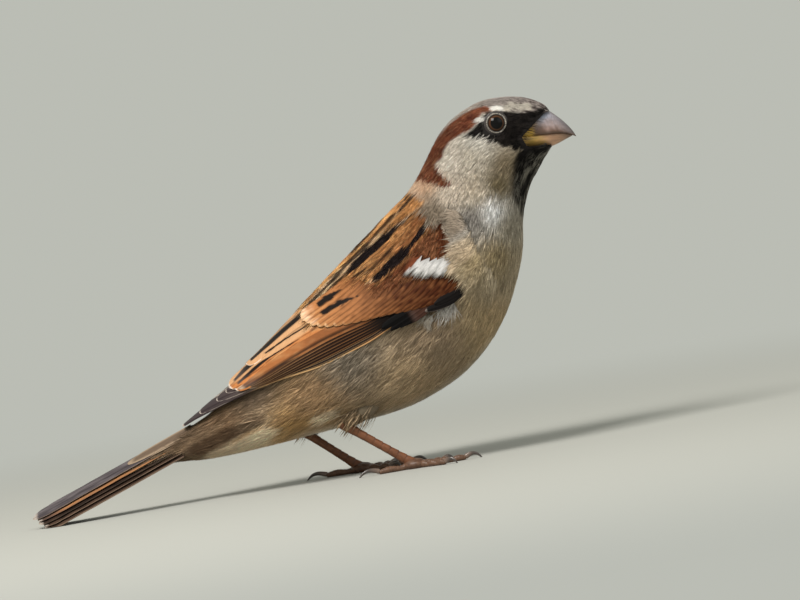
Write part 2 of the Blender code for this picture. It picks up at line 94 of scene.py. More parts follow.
WING_BEND = np.array((19.0, 47.3))
WING_TIP = np.array((-55.9, 19.5))
WING_LENGTH = float(np.linalg.norm(WING_TIP - WING_BEND))
ALONG = (WING_TIP - WING_BEND) / WING_LENGTH
ACROSS = np.array((ALONG[1], -ALONG[0]))
# The wings' arch over the place along them: height of the ridge and of the lower edge, and half width.
RIDGE = ((-5, 26.5), (1, 22.8), (7, 20.3), (13, 18.5), (27, 14.3), (41, 10), (54, 5.8), (67, 2.7),
         (80, 0.2))
LOW_EDGE = ((-5, -2.0), (2, -5.3), (8, -6.9), (27, -5.2), (41, -4.6), (51, -3.3), (61, -1.4), (80, -0.6))
HALF_WIDTH = ((-5, 14.2), (2, 17.6), (12, 19.6), (27, 18.6), (41, 15.4), (54, 12.0), (67, 7.8), (80, 3.4))
SCAPULAR_LINE = ((-5, 13.6), (10, 11.5), (22, 9.0), (30, 7.6), (41, 8.3))
BAR_LINE = ((-5, 0.6), (1.6, 2.0), (14.2, 4.5), (30, 7.2), (31, 7.65), (41, 8.3))

TAIL_ROOT = (-58.1, 17.2)
TAIL_TIP = (-95.2, 4.0)
ROOT_LEAN = 0.53
TAIL_STEPS = (1.2, 0.85)
ROOF_SLOPE = 0.55
TAIL_HALF_WIDTHS = ((3.4, 4.0), (3.9, 4.9), (4.3, 5.8), (4.6, 6.7))
TIP_STEP = 0.9

KNEE = {"right": (2.5, 8.0, 22.5), "left": (-9.0, 8.0, 22.0)}
ANKLE = {"right": (-17.0, 9.0, 13.5), "left": (-28.0, 9.0, 13.3)}
FOOT = {"right": (-1.6, 10.5, 1.3), "left": (-14.6, 10.5, 1.3)}
TIBIA_RADII = (5.4, 1.75)
TARSUS_RADIUS = 1.1
PAD = (3.0, 2.4, 1.5)
TOES = {
    "hallux": (172.0, 8.6, 1, 6.2),
    "inner_toe": (-34.0, 9.0, 2, 4.2),
    "middle_toe": (-2.0, 13.0, 3, 4.8),
    "outer_toe": (33.0, 9.4, 3, 4.2),
}
TOE_RADII = (0.82, 0.66)
TOE_START = 1.6
CLAW_RADIUS = 0.6
CLAW_ARC = math.radians(68)


def on_side(table, side, sign):
    """A place from a table by side, on that side of the bird."""
    x, out, z = table[side]
    return np.array((x, sign * out, z))


def placed(points):
    """Points in millimetres in the bird's own frame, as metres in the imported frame."""
    out = np.asarray(points, float) * MM
    out[..., 0] += SHIFT_X
    return out


# ---------------------------------------------------------------- number helpers


def smooth(table, x):
    """A table of (x, y) pairs read at x by monotone cubic interpolation."""
    xs = np.array([p[0] for p in table], float)
    ys = np.array([p[1] for p in table], float)
    slopes = np.diff(ys) / np.diff(xs)
    tangents = np.zeros(len(xs))
    tangents[0] = slopes[0]
    tangents[-1] = slopes[-1]
    same = slopes[:-1] * slopes[1:] > 0
    tangents[1:-1][same] = 2 * slopes[:-1][same] * slopes[1:][same] / (slopes[:-1] + slopes[1:])[same]
    x = np.clip(np.asarray(x, float), xs[0], xs[-1])
    k = np.clip(np.searchsorted(xs, x) - 1, 0, len(xs) - 2)
    width = xs[k + 1] - xs[k]
    t = (x - xs[k]) / width
    return (
        (2 * t**3 - 3 * t**2 + 1) * ys[k]
        + (t**3 - 2 * t**2 + t) * width * tangents[k]
        + (3 * t**2 - 2 * t**3) * ys[k + 1]
        + (t**3 - t**2) * width * tangents[k + 1]
    )


def straight(table, x):
    return np.interp(x, [p[0] for p in table], [p[1] for p in table])


def step(low, high, x):
    """0 below low, 1 above high, and a smooth rise between."""
    t = np.clip((np.asarray(x, float) - low) / (high - low), 0.0, 1.0)
    return t * t * (3 - 2 * t)


def mix(a, b, share):
    """Colours or rows a and b, blended by a share per row."""
    share = np.asarray(share, float)[..., None]
    return np.asarray(a, float) * (1 - share) + np.asarray(b, float) * share


def unit(v):
    return v / np.maximum(np.linalg.norm(v, axis=-1, keepdims=True), 1e-12)


def curve(points, share):
    """A smooth line through a few points, at shares 0 to 1 of its length."""
    points = np.asarray(points, float)
    lengths = np.concatenate(([0.0], np.cumsum(np.linalg.norm(np.diff(points, axis=0), axis=1))))
    at = lengths / lengths[-1]
    return np.stack([smooth(tuple(zip(at, points[:, i])), share) for i in range(points.shape[1])], axis=-1)


def inside(outline, x, z):
    """Whether points (x, z) are inside a closed outline."""
    outline = np.asarray(outline, float)
    found = np.zeros(np.shape(x), bool)
    for (x0, z0), (x1, z1) in zip(outline, np.roll(outline, -1, axis=0)):
        if z0 == z1:
            continue
        crosses = (z0 > z) != (z1 > z)
        found ^= crosses & (x < (x1 - x0) * (z - z0) / (z1 - z0) + x0)
    return found


def distance_to_line(points, x, z):
    """Distance from (x, z) to an open line of points, and the share of the line that is nearest."""
    points = np.asarray(points, float)
    lengths = np.concatenate(([0.0], np.cumsum(np.linalg.norm(np.diff(points, axis=0), axis=1))))
    best = np.full(np.shape(x), 1e9)
    share = np.zeros(np.shape(x))
    for i, (start, end) in enumerate(zip(points, points[1:])):
        line = end - start
        t = np.clip(((x - start[0]) * line[0] + (z - start[1]) * line[1]) / (line @ line), 0.0, 1.0)
        away = np.hypot(x - start[0] - t * line[0], z - start[1] - t * line[1])
        nearer = away < best
        best = np.where(nearer, away, best)
        along = (lengths[i] + t * (lengths[i + 1] - lengths[i])) / lengths[-1]
        share = np.where(nearer, along, share)
    return best, share


def signed_distance(outline, x, z):
    """Distance to a closed outline, positive inside it."""
    closed = [*outline, outline[0]]
    away, _ = distance_to_line(closed, x, z)
    return np.where(inside(outline, x, z), away, -away)


def noise(x, y, seed=0, size=1.0):
    """Smooth value noise in 0..1 from a hash of the grid cells."""
    x = np.asarray(x, float) / size + 100.0
    y = np.asarray(y, float) / size + 100.0
    i, j = np.floor(x), np.floor(y)
    fx, fy = x - i, y - j
    fx, fy = fx * fx * (3 - 2 * fx), fy * fy * (3 - 2 * fy)

    def corner(di, dj):
        value = np.sin((i + di) * 127.1 + (j + dj) * 311.7 + seed * 74.7) * 43758.5453
        return value - np.floor(value)

    top = corner(0, 0) * (1 - fx) + corner(1, 0) * fx
    bottom = corner(0, 1) * (1 - fx) + corner(1, 1) * fx
    return top * (1 - fy) + bottom * fy


# ---------------------------------------------------------------- surfaces that feathers lie on


def body_rows(u):
    """Back point, underside point and half width at section numbers u, by a Catmull-Rom curve."""
    rows = np.array([(*back, *under, width) for _, back, under, width in BODY])
    last = len(rows) - 1
    k = np.clip(np.floor(u).astype(int), 0, last - 1)
    t = (u - k)[..., None]
    before, here, there, after = (rows[np.clip(k + i, 0, last)] for i in (-1, 0, 1, 2))
    row = 0.5 * (
        2 * here
        + (there - before) * t
        + (2 * before - 5 * here + 4 * there - after) * t**2
        + (3 * here - before - 3 * there + after) * t**3
    )
    return row[..., 0:2], row[..., 2:4], row[..., 4]


def body_point(u, angle):
    """Points of the body's loft. Angle 0 is the back and a quarter turn is the left side."""
    back, under, width = body_rows(u)
    up, out = np.cos(angle), np.sin(angle)
    up = np.sign(up) * np.abs(up) ** (2 / BODY_BOXINESS)
    out = np.sign(out) * np.abs(out) ** (2 / BODY_BOXINESS)
    middle = (back + under) / 2 + (back - under) / 2 * up[..., None]
    y = width * out * smooth(FACE_TAPER, middle[..., 0])
    return np.stack([middle[..., 0], y, middle[..., 1]], axis=-1)


def arch_point(s, q, sign):
    """Points of the wings' arch at s along the wing; q is 0 on the ridge and 1 at the lower edge."""
    ridge, edge, half = (smooth(table, s) for table in (RIDGE, LOW_EDGE, HALF_WIDTH))
    height = edge + (ridge - edge) * np.cos(q * math.pi / 2)
    x = WING_BEND[0] + ALONG[0] * s + ACROSS[0] * height
    z = WING_BEND[1] + ALONG[1] * s + ACROSS[1] * height
    return np.stack([x, sign * half * np.sin(q * math.pi / 2), z], axis=-1)


def arch_q(s, height):
    """The arch's q at a height above the wing's line."""
    ridge, edge = smooth(RIDGE, s), smooth(LOW_EDGE, s)
    return np.arccos(np.clip((height - edge) / (ridge - edge), 0.0, 1.0)) / (math.pi / 2)


class Surface:
    """A smooth surface known on a fine grid of two parameters, read between the grid's points. Its
    normals point away from the point core."""

    def __init__(self, point, first, second, core, wraps=False):
        self.first, self.second, self.wraps = first, second, wraps
        a, b = np.meshgrid(first, second, indexing="ij")
        self.points = point(a, b)
        self.by_first = np.gradient(self.points, first, axis=0)
        if wraps:
            looped = np.concatenate([self.points[:, -2:-1], self.points, self.points[:, 1:2]], axis=1)
            step_size = second[1] - second[0]
            self.by_second = (looped[:, 2:] - looped[:, :-2]) / (2 * step_size)
        else:
            self.by_second = np.gradient(self.points, second, axis=1)
        self.normals = unit(np.cross(self.by_first, self.by_second))
        if np.sum((self.points - core) * self.normals) < 0:
            self.normals = -self.normals

    def read(self, grid, a, b):
        """A grid's value at parameters a and b."""
        if self.wraps:
            span = self.second[-1] - self.second[0]
            b = (b - self.second[0]) % span + self.second[0]
        x = np.interp(a, self.first, np.arange(len(self.first)))
        y = np.interp(b, self.second, np.arange(len(self.second)))
        i = np.minimum(x.astype(int), len(self.first) - 2)
        j = np.minimum(y.astype(int), len(self.second) - 2)
        fx, fy = (x - i)[..., None], (y - j)[..., None]
        near = grid[i, j] * (1 - fy) + grid[i, j + 1] * fy
        far = grid[i + 1, j] * (1 - fy) + grid[i + 1, j + 1] * fy
        return near * (1 - fx) + far * fx

    def at(self, a, b):
        """(point, normal, tangent along a, tangent along b) at parameters a and b."""
        return (
            self.read(self.points, a, b),
            unit(self.read(self.normals, a, b)),
            self.read(self.by_first, a, b),
            self.read(self.by_second, a, b),
        )

    def move(self, a, b, way, far, steps=3):
        """Parameters after going a distance over the surface, by a tangent vector field's value way."""
        for _ in range(steps):
            _, normal, along, across = self.at(a, b)
            go = way - normal * np.sum(way * normal, axis=-1, keepdims=True)
            go = unit(go) * (far / steps)[..., None]
            e = np.sum(along * along, axis=-1)
            f = np.sum(along * across, axis=-1)
            g = np.sum(across * across, axis=-1)
            p, q = np.sum(go * along, axis=-1), np.sum(go * across, axis=-1)
            det = np.maximum(e * g - f * f, 1e-4)
            a = np.clip(a + (p * g - q * f) / det, self.first[0], self.first[-1])
            b = b + (q * e - p * f) / det
            if not self.wraps:
                b = np.clip(b, self.second[0], self.second[-1])
        return a, b


BODY_SURFACE = Surface(
    body_point,
    np.linspace(0.0, len(BODY) - 1.0, 16 * (len(BODY) - 1) + 1),
    np.linspace(0.0, 2 * math.pi, 257),
    core=(5.0, 0.0, 45.0),
    wraps=True,
)
WING_SURFACES = {
    side: Surface(
        lambda s, q, sign=sign: arch_point(s, q, sign),
        np.linspace(-5.0, WING_LENGTH + 4.0, 240),
        np.linspace(0.0, 1.0, 97),
        core=(-10.0, 0.0, 30.0),
    )
    for side, sign in SIDES
}


# ---------------------------------------------------------------- feathers as fans of fine blades

UV_PATCH = 0.003  # width of one blade's patch on the baking map
UV_MARGIN = 0.01
BLADE_RIDGE = 0.27  # a blade's height over its width
TRIES = 9.0  # roots tried for each that finds room
CLOSEST = 0.82  # nearest that two roots may be, over their spacing
NEIGHBOURS = tuple(itertools.product((-1, 0, 1), repeat=3))
# Blades are darker at the root: partly the feathers' own darker bases, partly painted shade in the gaps
# between feathers.
HEAD_SHADE = (0.7, 1.0, 1.04)  # a blade's tone at its root, middle and tip
BODY_SHADE = (0.52, 1.0, 1.10)


class Coat:
    """Collects blades and makes them one mesh piece, with its colours and baking map."""

    def __init__(self, name):
        self.name = name
        self.verts, self.faces, self.colours, self.places, self.count = [], [], [], [], 0

    def add(self, paths, widths, sides, normals, colours, places):
        """Solid slivers. paths (n, 3, 3) are root, middle and tip; widths (n, 2) at root and middle;
        sides and normals (n, 2, 3) there; colours (n, 3, 3) at the stations; places (n, 2) on the map."""
        n = len(paths)
        ring = []
        for k in range(2):
            half = widths[:, k, None] / 2
            ring.append(paths[:, k] - sides[:, k] * half)
            ring.append(paths[:, k] + sides[:, k] * half)
            ring.append(paths[:, k] + normals[:, k] * half * 2 * BLADE_RIDGE)
        verts = np.stack([*ring, paths[:, 2]], axis=1)
        base = self.count + np.arange(n)[:, None] * 7
        shape = ((0, 3, 5), (0, 5, 2), (2, 5, 4), (2, 4, 1), (1, 4, 3), (1, 3, 0), (3, 6, 5), (5, 6, 4),
                 (4, 6, 3), (0, 2, 1))
        self.faces.append((base[:, :, None] + np.array(shape)[None]).reshape(-1, 3))
        self.verts.append(verts.reshape(-1, 3))
        station = np.array((0, 0, 0, 1, 1, 1, 2))
        self.colours.append(colours[:, station].reshape(-1, 3))
        across = np.array((0.0, 1.0, 0.5, 0.05, 0.95, 0.5, 0.5)) - 0.5
        down = np.array((0.0, 0.0, 0.1, 0.55, 0.55, 0.65, 1.0)) - 0.5
        local = np.stack([across, down], axis=-1) * UV_PATCH
        self.places.append((places[:, None, :], local))
        self.count += n * 7

    def add_strands(self, root, middle, tip, normal, widths, colours, places):
        """Single slivers through three points each."""
        paths = np.stack([root, middle, tip], axis=1)
        sides = np.stack([unit(np.cross(normal, unit(tip - root)))] * 2, axis=1)
        self.add(paths, widths, sides, np.stack([normal] * 2, axis=1), colours, places)

    def finish(self, material, slot, replaced=()):
        verts = np.concatenate(self.verts)
        faces = np.concatenate(self.faces)
        colours = np.concatenate(self.colours)
        roots = np.concatenate([p[0] for p in self.places])
        low = roots.min(axis=(0, 1))
        span = np.maximum(roots.max(axis=(0, 1)) - low, 1e-6)
        uvs = []
        for places, local in self.places:
            at = UV_MARGIN + (places - low) / span * (1 - 2 * UV_MARGIN)
            uvs.append((at + local[None]).reshape(-1, 2))
        mesh_piece(self.name, verts, faces, colours, np.concatenate(uvs), material, replaced)


def mesh_piece(name, verts, faces, colours, uvs, material, replaced=()):
    """An object from arrays in millimetres, riding on the body of the part. uvs are per vertex."""
    mesh = bpy.data.meshes.new(name)
    faces = np.asarray(faces)
    size = faces.shape[1]
    mesh.vertices.add(len(verts))
    mesh.vertices.foreach_set("co", placed(verts).astype(np.float32).ravel())
    mesh.loops.add(faces.size)
    mesh.loops.foreach_set("vertex_index", faces.astype(np.int32).ravel())
    mesh.polygons.add(len(faces))
    mesh.polygons.foreach_set("loop_start", np.arange(0, faces.size, size, dtype=np.int32))
    mesh.update(calc_edges=True)
    mesh.shade_smooth()
    layer = mesh.color_attributes.new("tone", "FLOAT_COLOR", "POINT")
    rgba = np.ones((len(verts), 4), np.float32)
    rgba[:, :3] = np.clip(colours, 0.0, 1.0)
    layer.data.foreach_set("color", rgba.ravel())
    if uvs is not None:
        uv_map = mesh.uv_layers.new(name="OFBake")
        uv_map.data.foreach_set("uv", np.asarray(uvs, np.float32)[faces.ravel()].ravel())
    obj = bpy.data.objects.new(name, mesh)
    obj.data.materials.append(material)
    bpy.context.scene.collection.objects.link(obj)
    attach(obj, "root")
    if replaced:
        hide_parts(*replaced)
    return obj


class Shape:
    """Collects closed forms with colours into one mesh piece."""

    def __init__(self, name):
        self.name, self.verts, self.faces, self.tones, self.count = name, [], [], [], 0

    def add(self, rings, tones):
        """A closed form through rings (rows, cols, 3), capped at both ends."""
        rows, cols = rings.shape[:2]
        i, j = np.meshgrid(np.arange(rows - 1), np.arange(cols), indexing="ij")
        k = (j + 1) % cols
        quads = np.stack([i * cols + j, i * cols + k, (i + 1) * cols + k, (i + 1) * cols + j], axis=-1)
        quads = quads.reshape(-1, 4)
        verts = np.vstack([rings.reshape(-1, 3), rings[0].mean(0), rings[-1].mean(0)])
        tones = np.vstack([tones.reshape(-1, 3), tones[0].mean(0), tones[-1].mean(0)])
        at, after = np.arange(cols), (np.arange(cols) + 1) % cols
        first = np.stack([after, at, np.full(cols, rows * cols)], axis=-1)
        last = np.stack([at, after, np.full(cols, rows * cols + 1)], axis=-1)
        last[:, :2] += (rows - 1) * cols
        faces = np.concatenate([quads[:, :3], quads[:, [0, 2, 3]], first, last])
        # Outward faces whichever way the rings run.
        centre = verts.mean(0)
        a, b, c = (verts[faces[:, m]] for m in range(3))
        volume = np.sum(np.cross(b - a, c - a) * (a - centre))
        if volume < 0:
            faces = faces[:, ::-1]
        self.verts.append(verts)
        self.faces.append(faces + self.count)
        self.tones.append(tones)
        self.count += len(verts)

    def finish(self, material, slot, replaced=()):
        mesh_piece(self.name, np.concatenate(self.verts), np.concatenate(self.faces),
                   np.concatenate(self.tones), None, material, replaced)


def value_at(value, point):
    """A number, or a function of the point, as a value per point."""
    return value(point) if callable(value) else np.full(point.shape[:-1], float(value))


def crowded(point, reach, cell, taken):
    """Whether one of the points taken so far, by cell, is nearer than reach."""
    x, y, z = cell
    for dx, dy, dz in NEIGHBOURS:
        for other in taken.get((x + dx, y + dy, z + dz), ()):
            gap = point - other
            if gap @ gap < reach * reach:
                return True
    return False


def scatter(surface, spacing, rng, keep):
    """Evenly spread roots (a, b) on a surface. spacing is the distance between neighbours in
    millimetres, and keep(a, b, point) says where roots may be."""
    cell_a = surface.first[1] - surface.first[0]
    cell_b = surface.second[1] - surface.second[0]
    area = np.linalg.norm(np.cross(surface.by_first, surface.by_second), axis=-1) * (cell_a * cell_b)
    want = area / np.maximum(value_at(spacing, surface.points), 0.05) ** 2 * TRIES
    share = np.cumsum(want.ravel())
    total = int(share[-1])
    pick = np.searchsorted(share, rng.random(total) * share[-1])
    i, j = np.unravel_index(np.minimum(pick, want.size - 1), want.shape)
    a = surface.first[i] + (rng.random(total) - 0.5) * cell_a
    b = surface.second[j] + (rng.random(total) - 0.5) * cell_b
    a = np.clip(a, surface.first[0], surface.first[-1])
    point = surface.at(a, b)[0]
    ok = keep(a, b, point)
    a, b, point = a[ok], b[ok], point[ok]
    reach = value_at(spacing, point) * CLOSEST
    cells = [tuple(cell) for cell in np.floor(point / float(reach.max())).astype(int)]
    taken, chosen = {}, []
    for n, cell in enumerate(cells):
        if not crowded(point[n], reach[n], cell, taken):
            taken.setdefault(cell, []).append(point[n])
            chosen.append(n)
    return a[chosen], b[chosen], point[chosen]


def body_roots(places, sign):
    """The body surface's parameters nearest to each (x, z) in side view, on one side of the bird."""
    points = BODY_SURFACE.points
    other_side = 1e6 * (points[..., 1] * sign < 0)
    found = []
    for x, z in places:
        away = (points[..., 0] - x) ** 2 + (points[..., 2] - z) ** 2 + other_side
        i, j = np.unravel_index(np.argmin(away), away.shape)
        found.append((BODY_SURFACE.first[i], BODY_SURFACE.second[j]))
    return np.array(found).T


def lay_fans(coat, surface, a, b, flow, length, width, count, depth, paint, rng, where, blade, lift,
             ragged, spray, tone_range, shade=HEAD_SHADE, camber=0.0, base=0.0, tips=None):
    """Feathers rooted at (a, b), each a fan of count blades along flow(point, along, side), from the
    surface's tangents. Length, width, depth of the coat and base (height over it) are numbers or hold
    for each feather or point; paint(point, across, a) gives a blade's colour, and where(a, b) its place
    on the baking map; tips(point, colour, lot) may give its outer half another, where lot is a number
    from 0 to 1 for each feather. The rest are a blade's width, its tones from root to tip, and how much
    the blades and feathers differ in height, length, direction and tone."""
    n = len(a)
    if n == 0:
        return
    feather = np.repeat(np.arange(n), count)
    length, width = np.broadcast_to(length, n)[feather], np.broadcast_to(width, n)[feather]
    across = ((np.arange(count) + 0.5) / count * 2 - 1)[None] + (rng.random((n, count)) - 0.5) * 1.6 / count
    across = across.ravel()
    reach = length * (1 + (rng.random(n * count) - 0.5) * ragged)
    start = (0.30 * (1 - np.abs(across)) + 0.10) * reach
    end = (1.0 - 0.26 * across**2) * reach
    # The feather's shaft, then out from it to each blade's own side.
    turn = (rng.random(n) - 0.5) * (0.1 + spray)
    tone = 1 + (rng.random(n) - 0.5) * tone_range[0]
    raise_by = (rng.random(n) * lift)[feather]
    twist = (rng.random(n * count) - 0.5) * spray * 2
    a, b = a[feather], b[feather]
    point, normal, along, side = surface.at(a, b)
    way = unit(flow(point, along, side))
    sideways = unit(np.cross(normal, way))
    way = unit(way + sideways * turn[feather][:, None])
    root = surface.move(a, b, way, start, steps=1)
    seen_from = [root]
    for share, spread in ((0.55, 0.72), (1.0, 1.0)):
        far = (end - start) * share
        off = width * across * spread
        go = way * far[:, None] + sideways * (off + twist * far)[:, None]
        seen_from.append(surface.move(*root, go, np.hypot(far, off), steps=2))
    paths, normals = [], []
    for (at_a, at_b), share in zip(seen_from, (0.0, 0.55, 1.0)):
        share = (start + (end - start) * share) / reach
        p, nrm, _, _ = surface.at(at_a, at_b)
        hidden = value_at(depth, p) * (1 - np.clip(share, 0, 1)) ** 1.1
        height = value_at(base, p) - hidden + raise_by * share**2 - camber * across**2 * share
        paths.append(p + nrm * height[:, None])
        normals.append(nrm)
    paths = np.stack(paths, axis=1)
    ahead = unit(paths[:, 2] - paths[:, 0])
    sides = np.stack([unit(np.cross(normals[k], ahead)) for k in range(2)], axis=1)
    normals = np.stack(normals[:2], axis=1)
    broad = blade * (0.85 + 0.3 * rng.random(n * count))
    widths = np.stack([broad * 0.75, broad], axis=1)
    seen_a, seen_b = ((middle + tip) / 2 for middle, tip in zip(*seen_from[1:]))
    colour = paint((paths[:, 1] + paths[:, 2]) / 2, across, seen_a)
    colour = colour * (tone[feather] * (1 + (rng.random(n * count) - 0.5) * tone_range[1]))[:, None]
    colours = np.stack([colour * level for level in shade], axis=1)
    if tips is not None:
        lot = (np.sin(np.arange(n) * 12.9898) * 43758.5453 % 1.0)[feather]
        for k in (1, 2):
            colours[:, k] = tips(paths[:, k], colours[:, k], lot)
    coat.add(paths, widths, sides, normals, colours, where(seen_a, seen_b))


# ---------------------------------------------------------------- the bird's markings

GREY_CROWN = (0.38, 0.33, 0.30)
DARK_CROWN = (0.075, 0.058, 0.052)
CREAM = (0.80, 0.77, 0.72)
BROW_GREY = (0.52, 0.475, 0.405)
CHESTNUT = (0.245, 0.078, 0.040)
CHESTNUT_SPECK = (0.46, 0.235, 0.12)
CHESTNUT_DARK = (0.105, 0.028, 0.017)
BLACK = (0.006, 0.005, 0.005)
BIB_FRINGE = (0.40, 0.37, 0.31)
CHEEK = (0.68, 0.61, 0.51)
PAINTED_CHEEK_SHADE = (0.28, 0.22, 0.14)
BELLY_PALE = (0.62, 0.56, 0.46)

# The plain plumage of neck, breast and underparts: tones at a few named places in side view, some of them
# with painted shade and painted light, as noted.
GROUND = (
    # The cheek darkens from its rear to its front, partly with painted shade.
    ("cheek", (24.4, 71.6), CHEEK),
    ("cheek rear", (18.5, 72.0), (0.93, 0.84, 0.74)),
    ("cheek top", (26.0, 75.5), (0.62, 0.58, 0.52)),
    ("cheek front", (32.2, 68.0), PAINTED_CHEEK_SHADE),
    ("throat side", (29.5, 64.0), (0.22, 0.171, 0.0935)),
    ("nape", (11.8, 67.2), (0.815, 0.563, 0.383)),
    ("neck side", (17.5, 63.9), (0.858, 0.748, 0.627)),
    ("collar", (24.0, 63.3), (0.76, 0.653, 0.522)),
    ("neck base", (13.0, 60.0), (0.34, 0.27, 0.20)),
    # Partly painted light: a pale patch on the breast's side, painted brighter where the light falls on it.
    ("lit pale breast side", (27.0, 57.6), (0.94, 0.918, 0.896)),
    ("grey breast side", (22.0, 56.5), (0.33, 0.30, 0.27)),
    ("breast top", (31.0, 53.0), (0.425, 0.375, 0.294)),
    ("breast", (26.3, 46.6), (0.44, 0.342, 0.2)),
    ("breast front", (33.0, 43.5), (0.504, 0.42, 0.3)),
    ("belly front", (22.0, 30.3), (0.553, 0.419, 0.25)),
    ("flank", (7.5, 30.5), (0.39, 0.292, 0.194)),
    ("belly low", (0.0, 20.3), (0.561, 0.416, 0.259)),
    # Painted shade: the flank's rear is darker under the wing's edge.
    ("flank rear in the wing's shade", (-13.4, 28.3), (0.272, 0.225, 0.17)),
    ("vent side", (-25.0, 20.0), (0.442, 0.286, 0.156)),
    ("vent", (-29.4, 14.3), (0.513, 0.317, 0.135)),
    ("undertail coverts", (-40.5, 12.5), (0.94, 0.759, 0.524)),
    ("rump side", (-45.5, 17.5), (0.384, 0.252, 0.15)),
    ("rump", (-38.0, 25.5), (0.25, 0.18, 0.125)),
    ("tail coverts", (-58.0, 15.5), (0.30, 0.21, 0.135)),
    ("under the tail", (-63.0, 9.5), (0.36, 0.27, 0.18)),
)

CROWN_LINE = ((22.4, 81.6), (24.5, 83.2), (27.6, 84.3), (31.6, 83.0), (34.9, 82.2), (40.6, 80.7),
              (43.5, 80.8), (48.0, 80.2))
CHESTNUT_EDGE = ((31.8, 82.3), (28.4, 82.2), (26.6, 80.0), (24.0, 78.0), (20.3, 77.0), (18.9, 75.8),
                 (17.5, 73.3), (15.5, 71.6), (15.7, 70.1), (18.2, 66.2), (16.7, 65.6), (13.8, 67.2),
                 (10.4, 68.6), (6.0, 69.0), (6.0, 90.0), (31.8, 90.0))
MASK = ((46.5, 81.2), (43.5, 81.2), (40.8, 80.4), (37.7, 80.9), (34.8, 81.6), (33.3, 82.2), (30.3, 82.4),
        (29.0, 81.4), (27.2, 79.9), (26.2, 78.5), (23.3, 77.2), (26.6, 76.2), (28.7, 75.0), (31.4, 73.7),
        (34.0, 72.8), (35.1, 71.6), (38.2, 71.6), (39.5, 73.0), (42.0, 78.0))
BIB = ((45.5, 72.5), (37.6, 72.6), (35.4, 70.6), (33.6, 67.8), (33.2, 65.2), (32.3, 62.9), (32.9, 60.3),
       (33.9, 57.7), (34.7, 55.4), (36.8, 53.6), (42.0, 54.0), (46.0, 70.0))
STREAK = ((31.3, 82.9), (32.6, 82.95), (33.6, 82.4))
BROW = ((35.4, 82.6), (37.8, 82.2), (40.2, 81.6))
EYE_SPOT = (27.7, 80.5)
EYE_SPOT_SIZE = (1.35, 0.75)
GREY_BAND = ((10, 2.0), (22, 3.2), (30, 5.2), (36, 7.0), (46, 9.0))  # half width of the grey, over x
GREY_NAPE = (0.46, 0.39, 0.33)
MASK_SPECK = (0.026, 0.021, 0.018)
COVERT_CENTRE = (0.50, 0.46, 0.44)  # a feather's middle on rump and tail coverts, over its own tone

# Single feathers of the rump, the vent and under the tail: (line, half width, tone, strength).
MARKS = (
    (((-53.0, 12.8), (-48.0, 14.2), (-44.0, 15.6)), 1.7, (0.105, 0.062, 0.036), 0.85),
    (((-43.6, 15.3), (-40.0, 16.4), (-36.8, 17.6)), 1.3, (0.12, 0.075, 0.045), 0.8),
    (((-58.0, 13.0), (-53.5, 15.2), (-46.0, 18.0)), 0.7, (0.34, 0.23, 0.14), 0.6),
    (((-50.0, 10.0), (-42.0, 12.0), (-35.0, 14.0)), 1.6, (0.95, 0.76, 0.54), 0.65),
    (((-24.0, 14.8), (-19.0, 16.0)), 1.1, (0.95, 0.80, 0.60), 0.6),
    (((-43.5, 13.6), (-38.5, 15.2)), 0.5, (0.60, 0.40, 0.22), 0.6),
    (((-34.5, 16.0), (-27.0, 17.0)), 0.8, (0.42, 0.26, 0.13), 0.5),
)

MANTLE_EDGE = ((-5, 9.5), (5, 8.5), (15, 6.5), (27, 3.5), (34, 1.5), (38, 0.45), (80, 0.45))
BACK_STRIPES = ((1.3, 0.75), (3.9, 0.85), (6.6, 0.8))  # (distance from the spine, half width)
# Where along the wing the mantle starts, over the height in its frame.
MANTLE_FRONT = ((1.4, 1.5), (5.5, -1.2), (10.7, -2.4), (12.5, 0.0), (16.5, 1.0), (20.3, 3.0), (24.0, 4.0))


def wing_frame(x, z):
    """(s, h) of side-view points in the wing's frame."""
    dx, dz = x - WING_BEND[0], z - WING_BEND[1]
    return dx * ALONG[0] + dz * ALONG[1], dx * ACROSS[0] + dz * ACROSS[1]


def mantle_top(s):
    """Height in the wing's frame where the arch is as wide as the mantle between the wings."""
    ridge, edge, half = (smooth(t, s) for t in (RIDGE, LOW_EDGE, HALF_WIDTH))
    share = np.clip(straight(MANTLE_EDGE, s) / half, 0.0, 0.98)
    return edge + (ridge - edge) * np.sqrt(1 - share**2)


def mantle_front(s, h):
    """How far behind the mantle's front edge, where the neck's feathers end."""
    return s - straight(MANTLE_FRONT, h)


def ground_tone(x, z):
    """The ground tones, blended by how near their places are."""
    total, sum_of = 0.0, 0.0
    for _, (px, pz), tone in GROUND:
        weight = 1.0 / ((x - px) ** 2 + (z - pz) ** 2 + 2.0) ** 1.6
        total = total + weight
        sum_of = sum_of + weight[..., None] * np.array(tone)
    return sum_of / total[..., None]


def plain_tone(x, out, z, across, grain):
    """Neck, breast, underparts and rump as in side view, with soft streaks."""
    colour = ground_tone(x, z)
    # Underneath, away from the flanks, the belly is paler.
    under = step(9.0, 2.0, out) * step(34.0, 22.0, z) * step(-34.0, -24.0, x) * step(34.0, 20.0, x)
    colour = mix(colour, BELLY_PALE, 0.75 * under)
    streaks = noise(x * 0.45 - z * 1.0, z * 0.22 + x * 0.16, 5, 1.0) - 0.5
    colour = colour * (1 + 0.20 * streaks * step(58.0, 48.0, z))[..., None]
    # Darker centres on the rump and the tail coverts, pale edges on those under the tail.
    coverts = step(-34.0, -42.0, x)
    centre = step(0.75, 0.25, np.abs(across))
    colour = mix(colour, colour * COVERT_CENTRE, 0.8 * centre * coverts)
    colour = colour * (1 + 0.35 * coverts * (1 - centre))[..., None]
    for line, half, tone, strength in MARKS:
        away, _ = distance_to_line(line, x, z)
        colour = mix(colour, tone, strength * step(1.35, 0.65, (away + 0.7 * grain) / half) * (out > 1.2))
    return colour


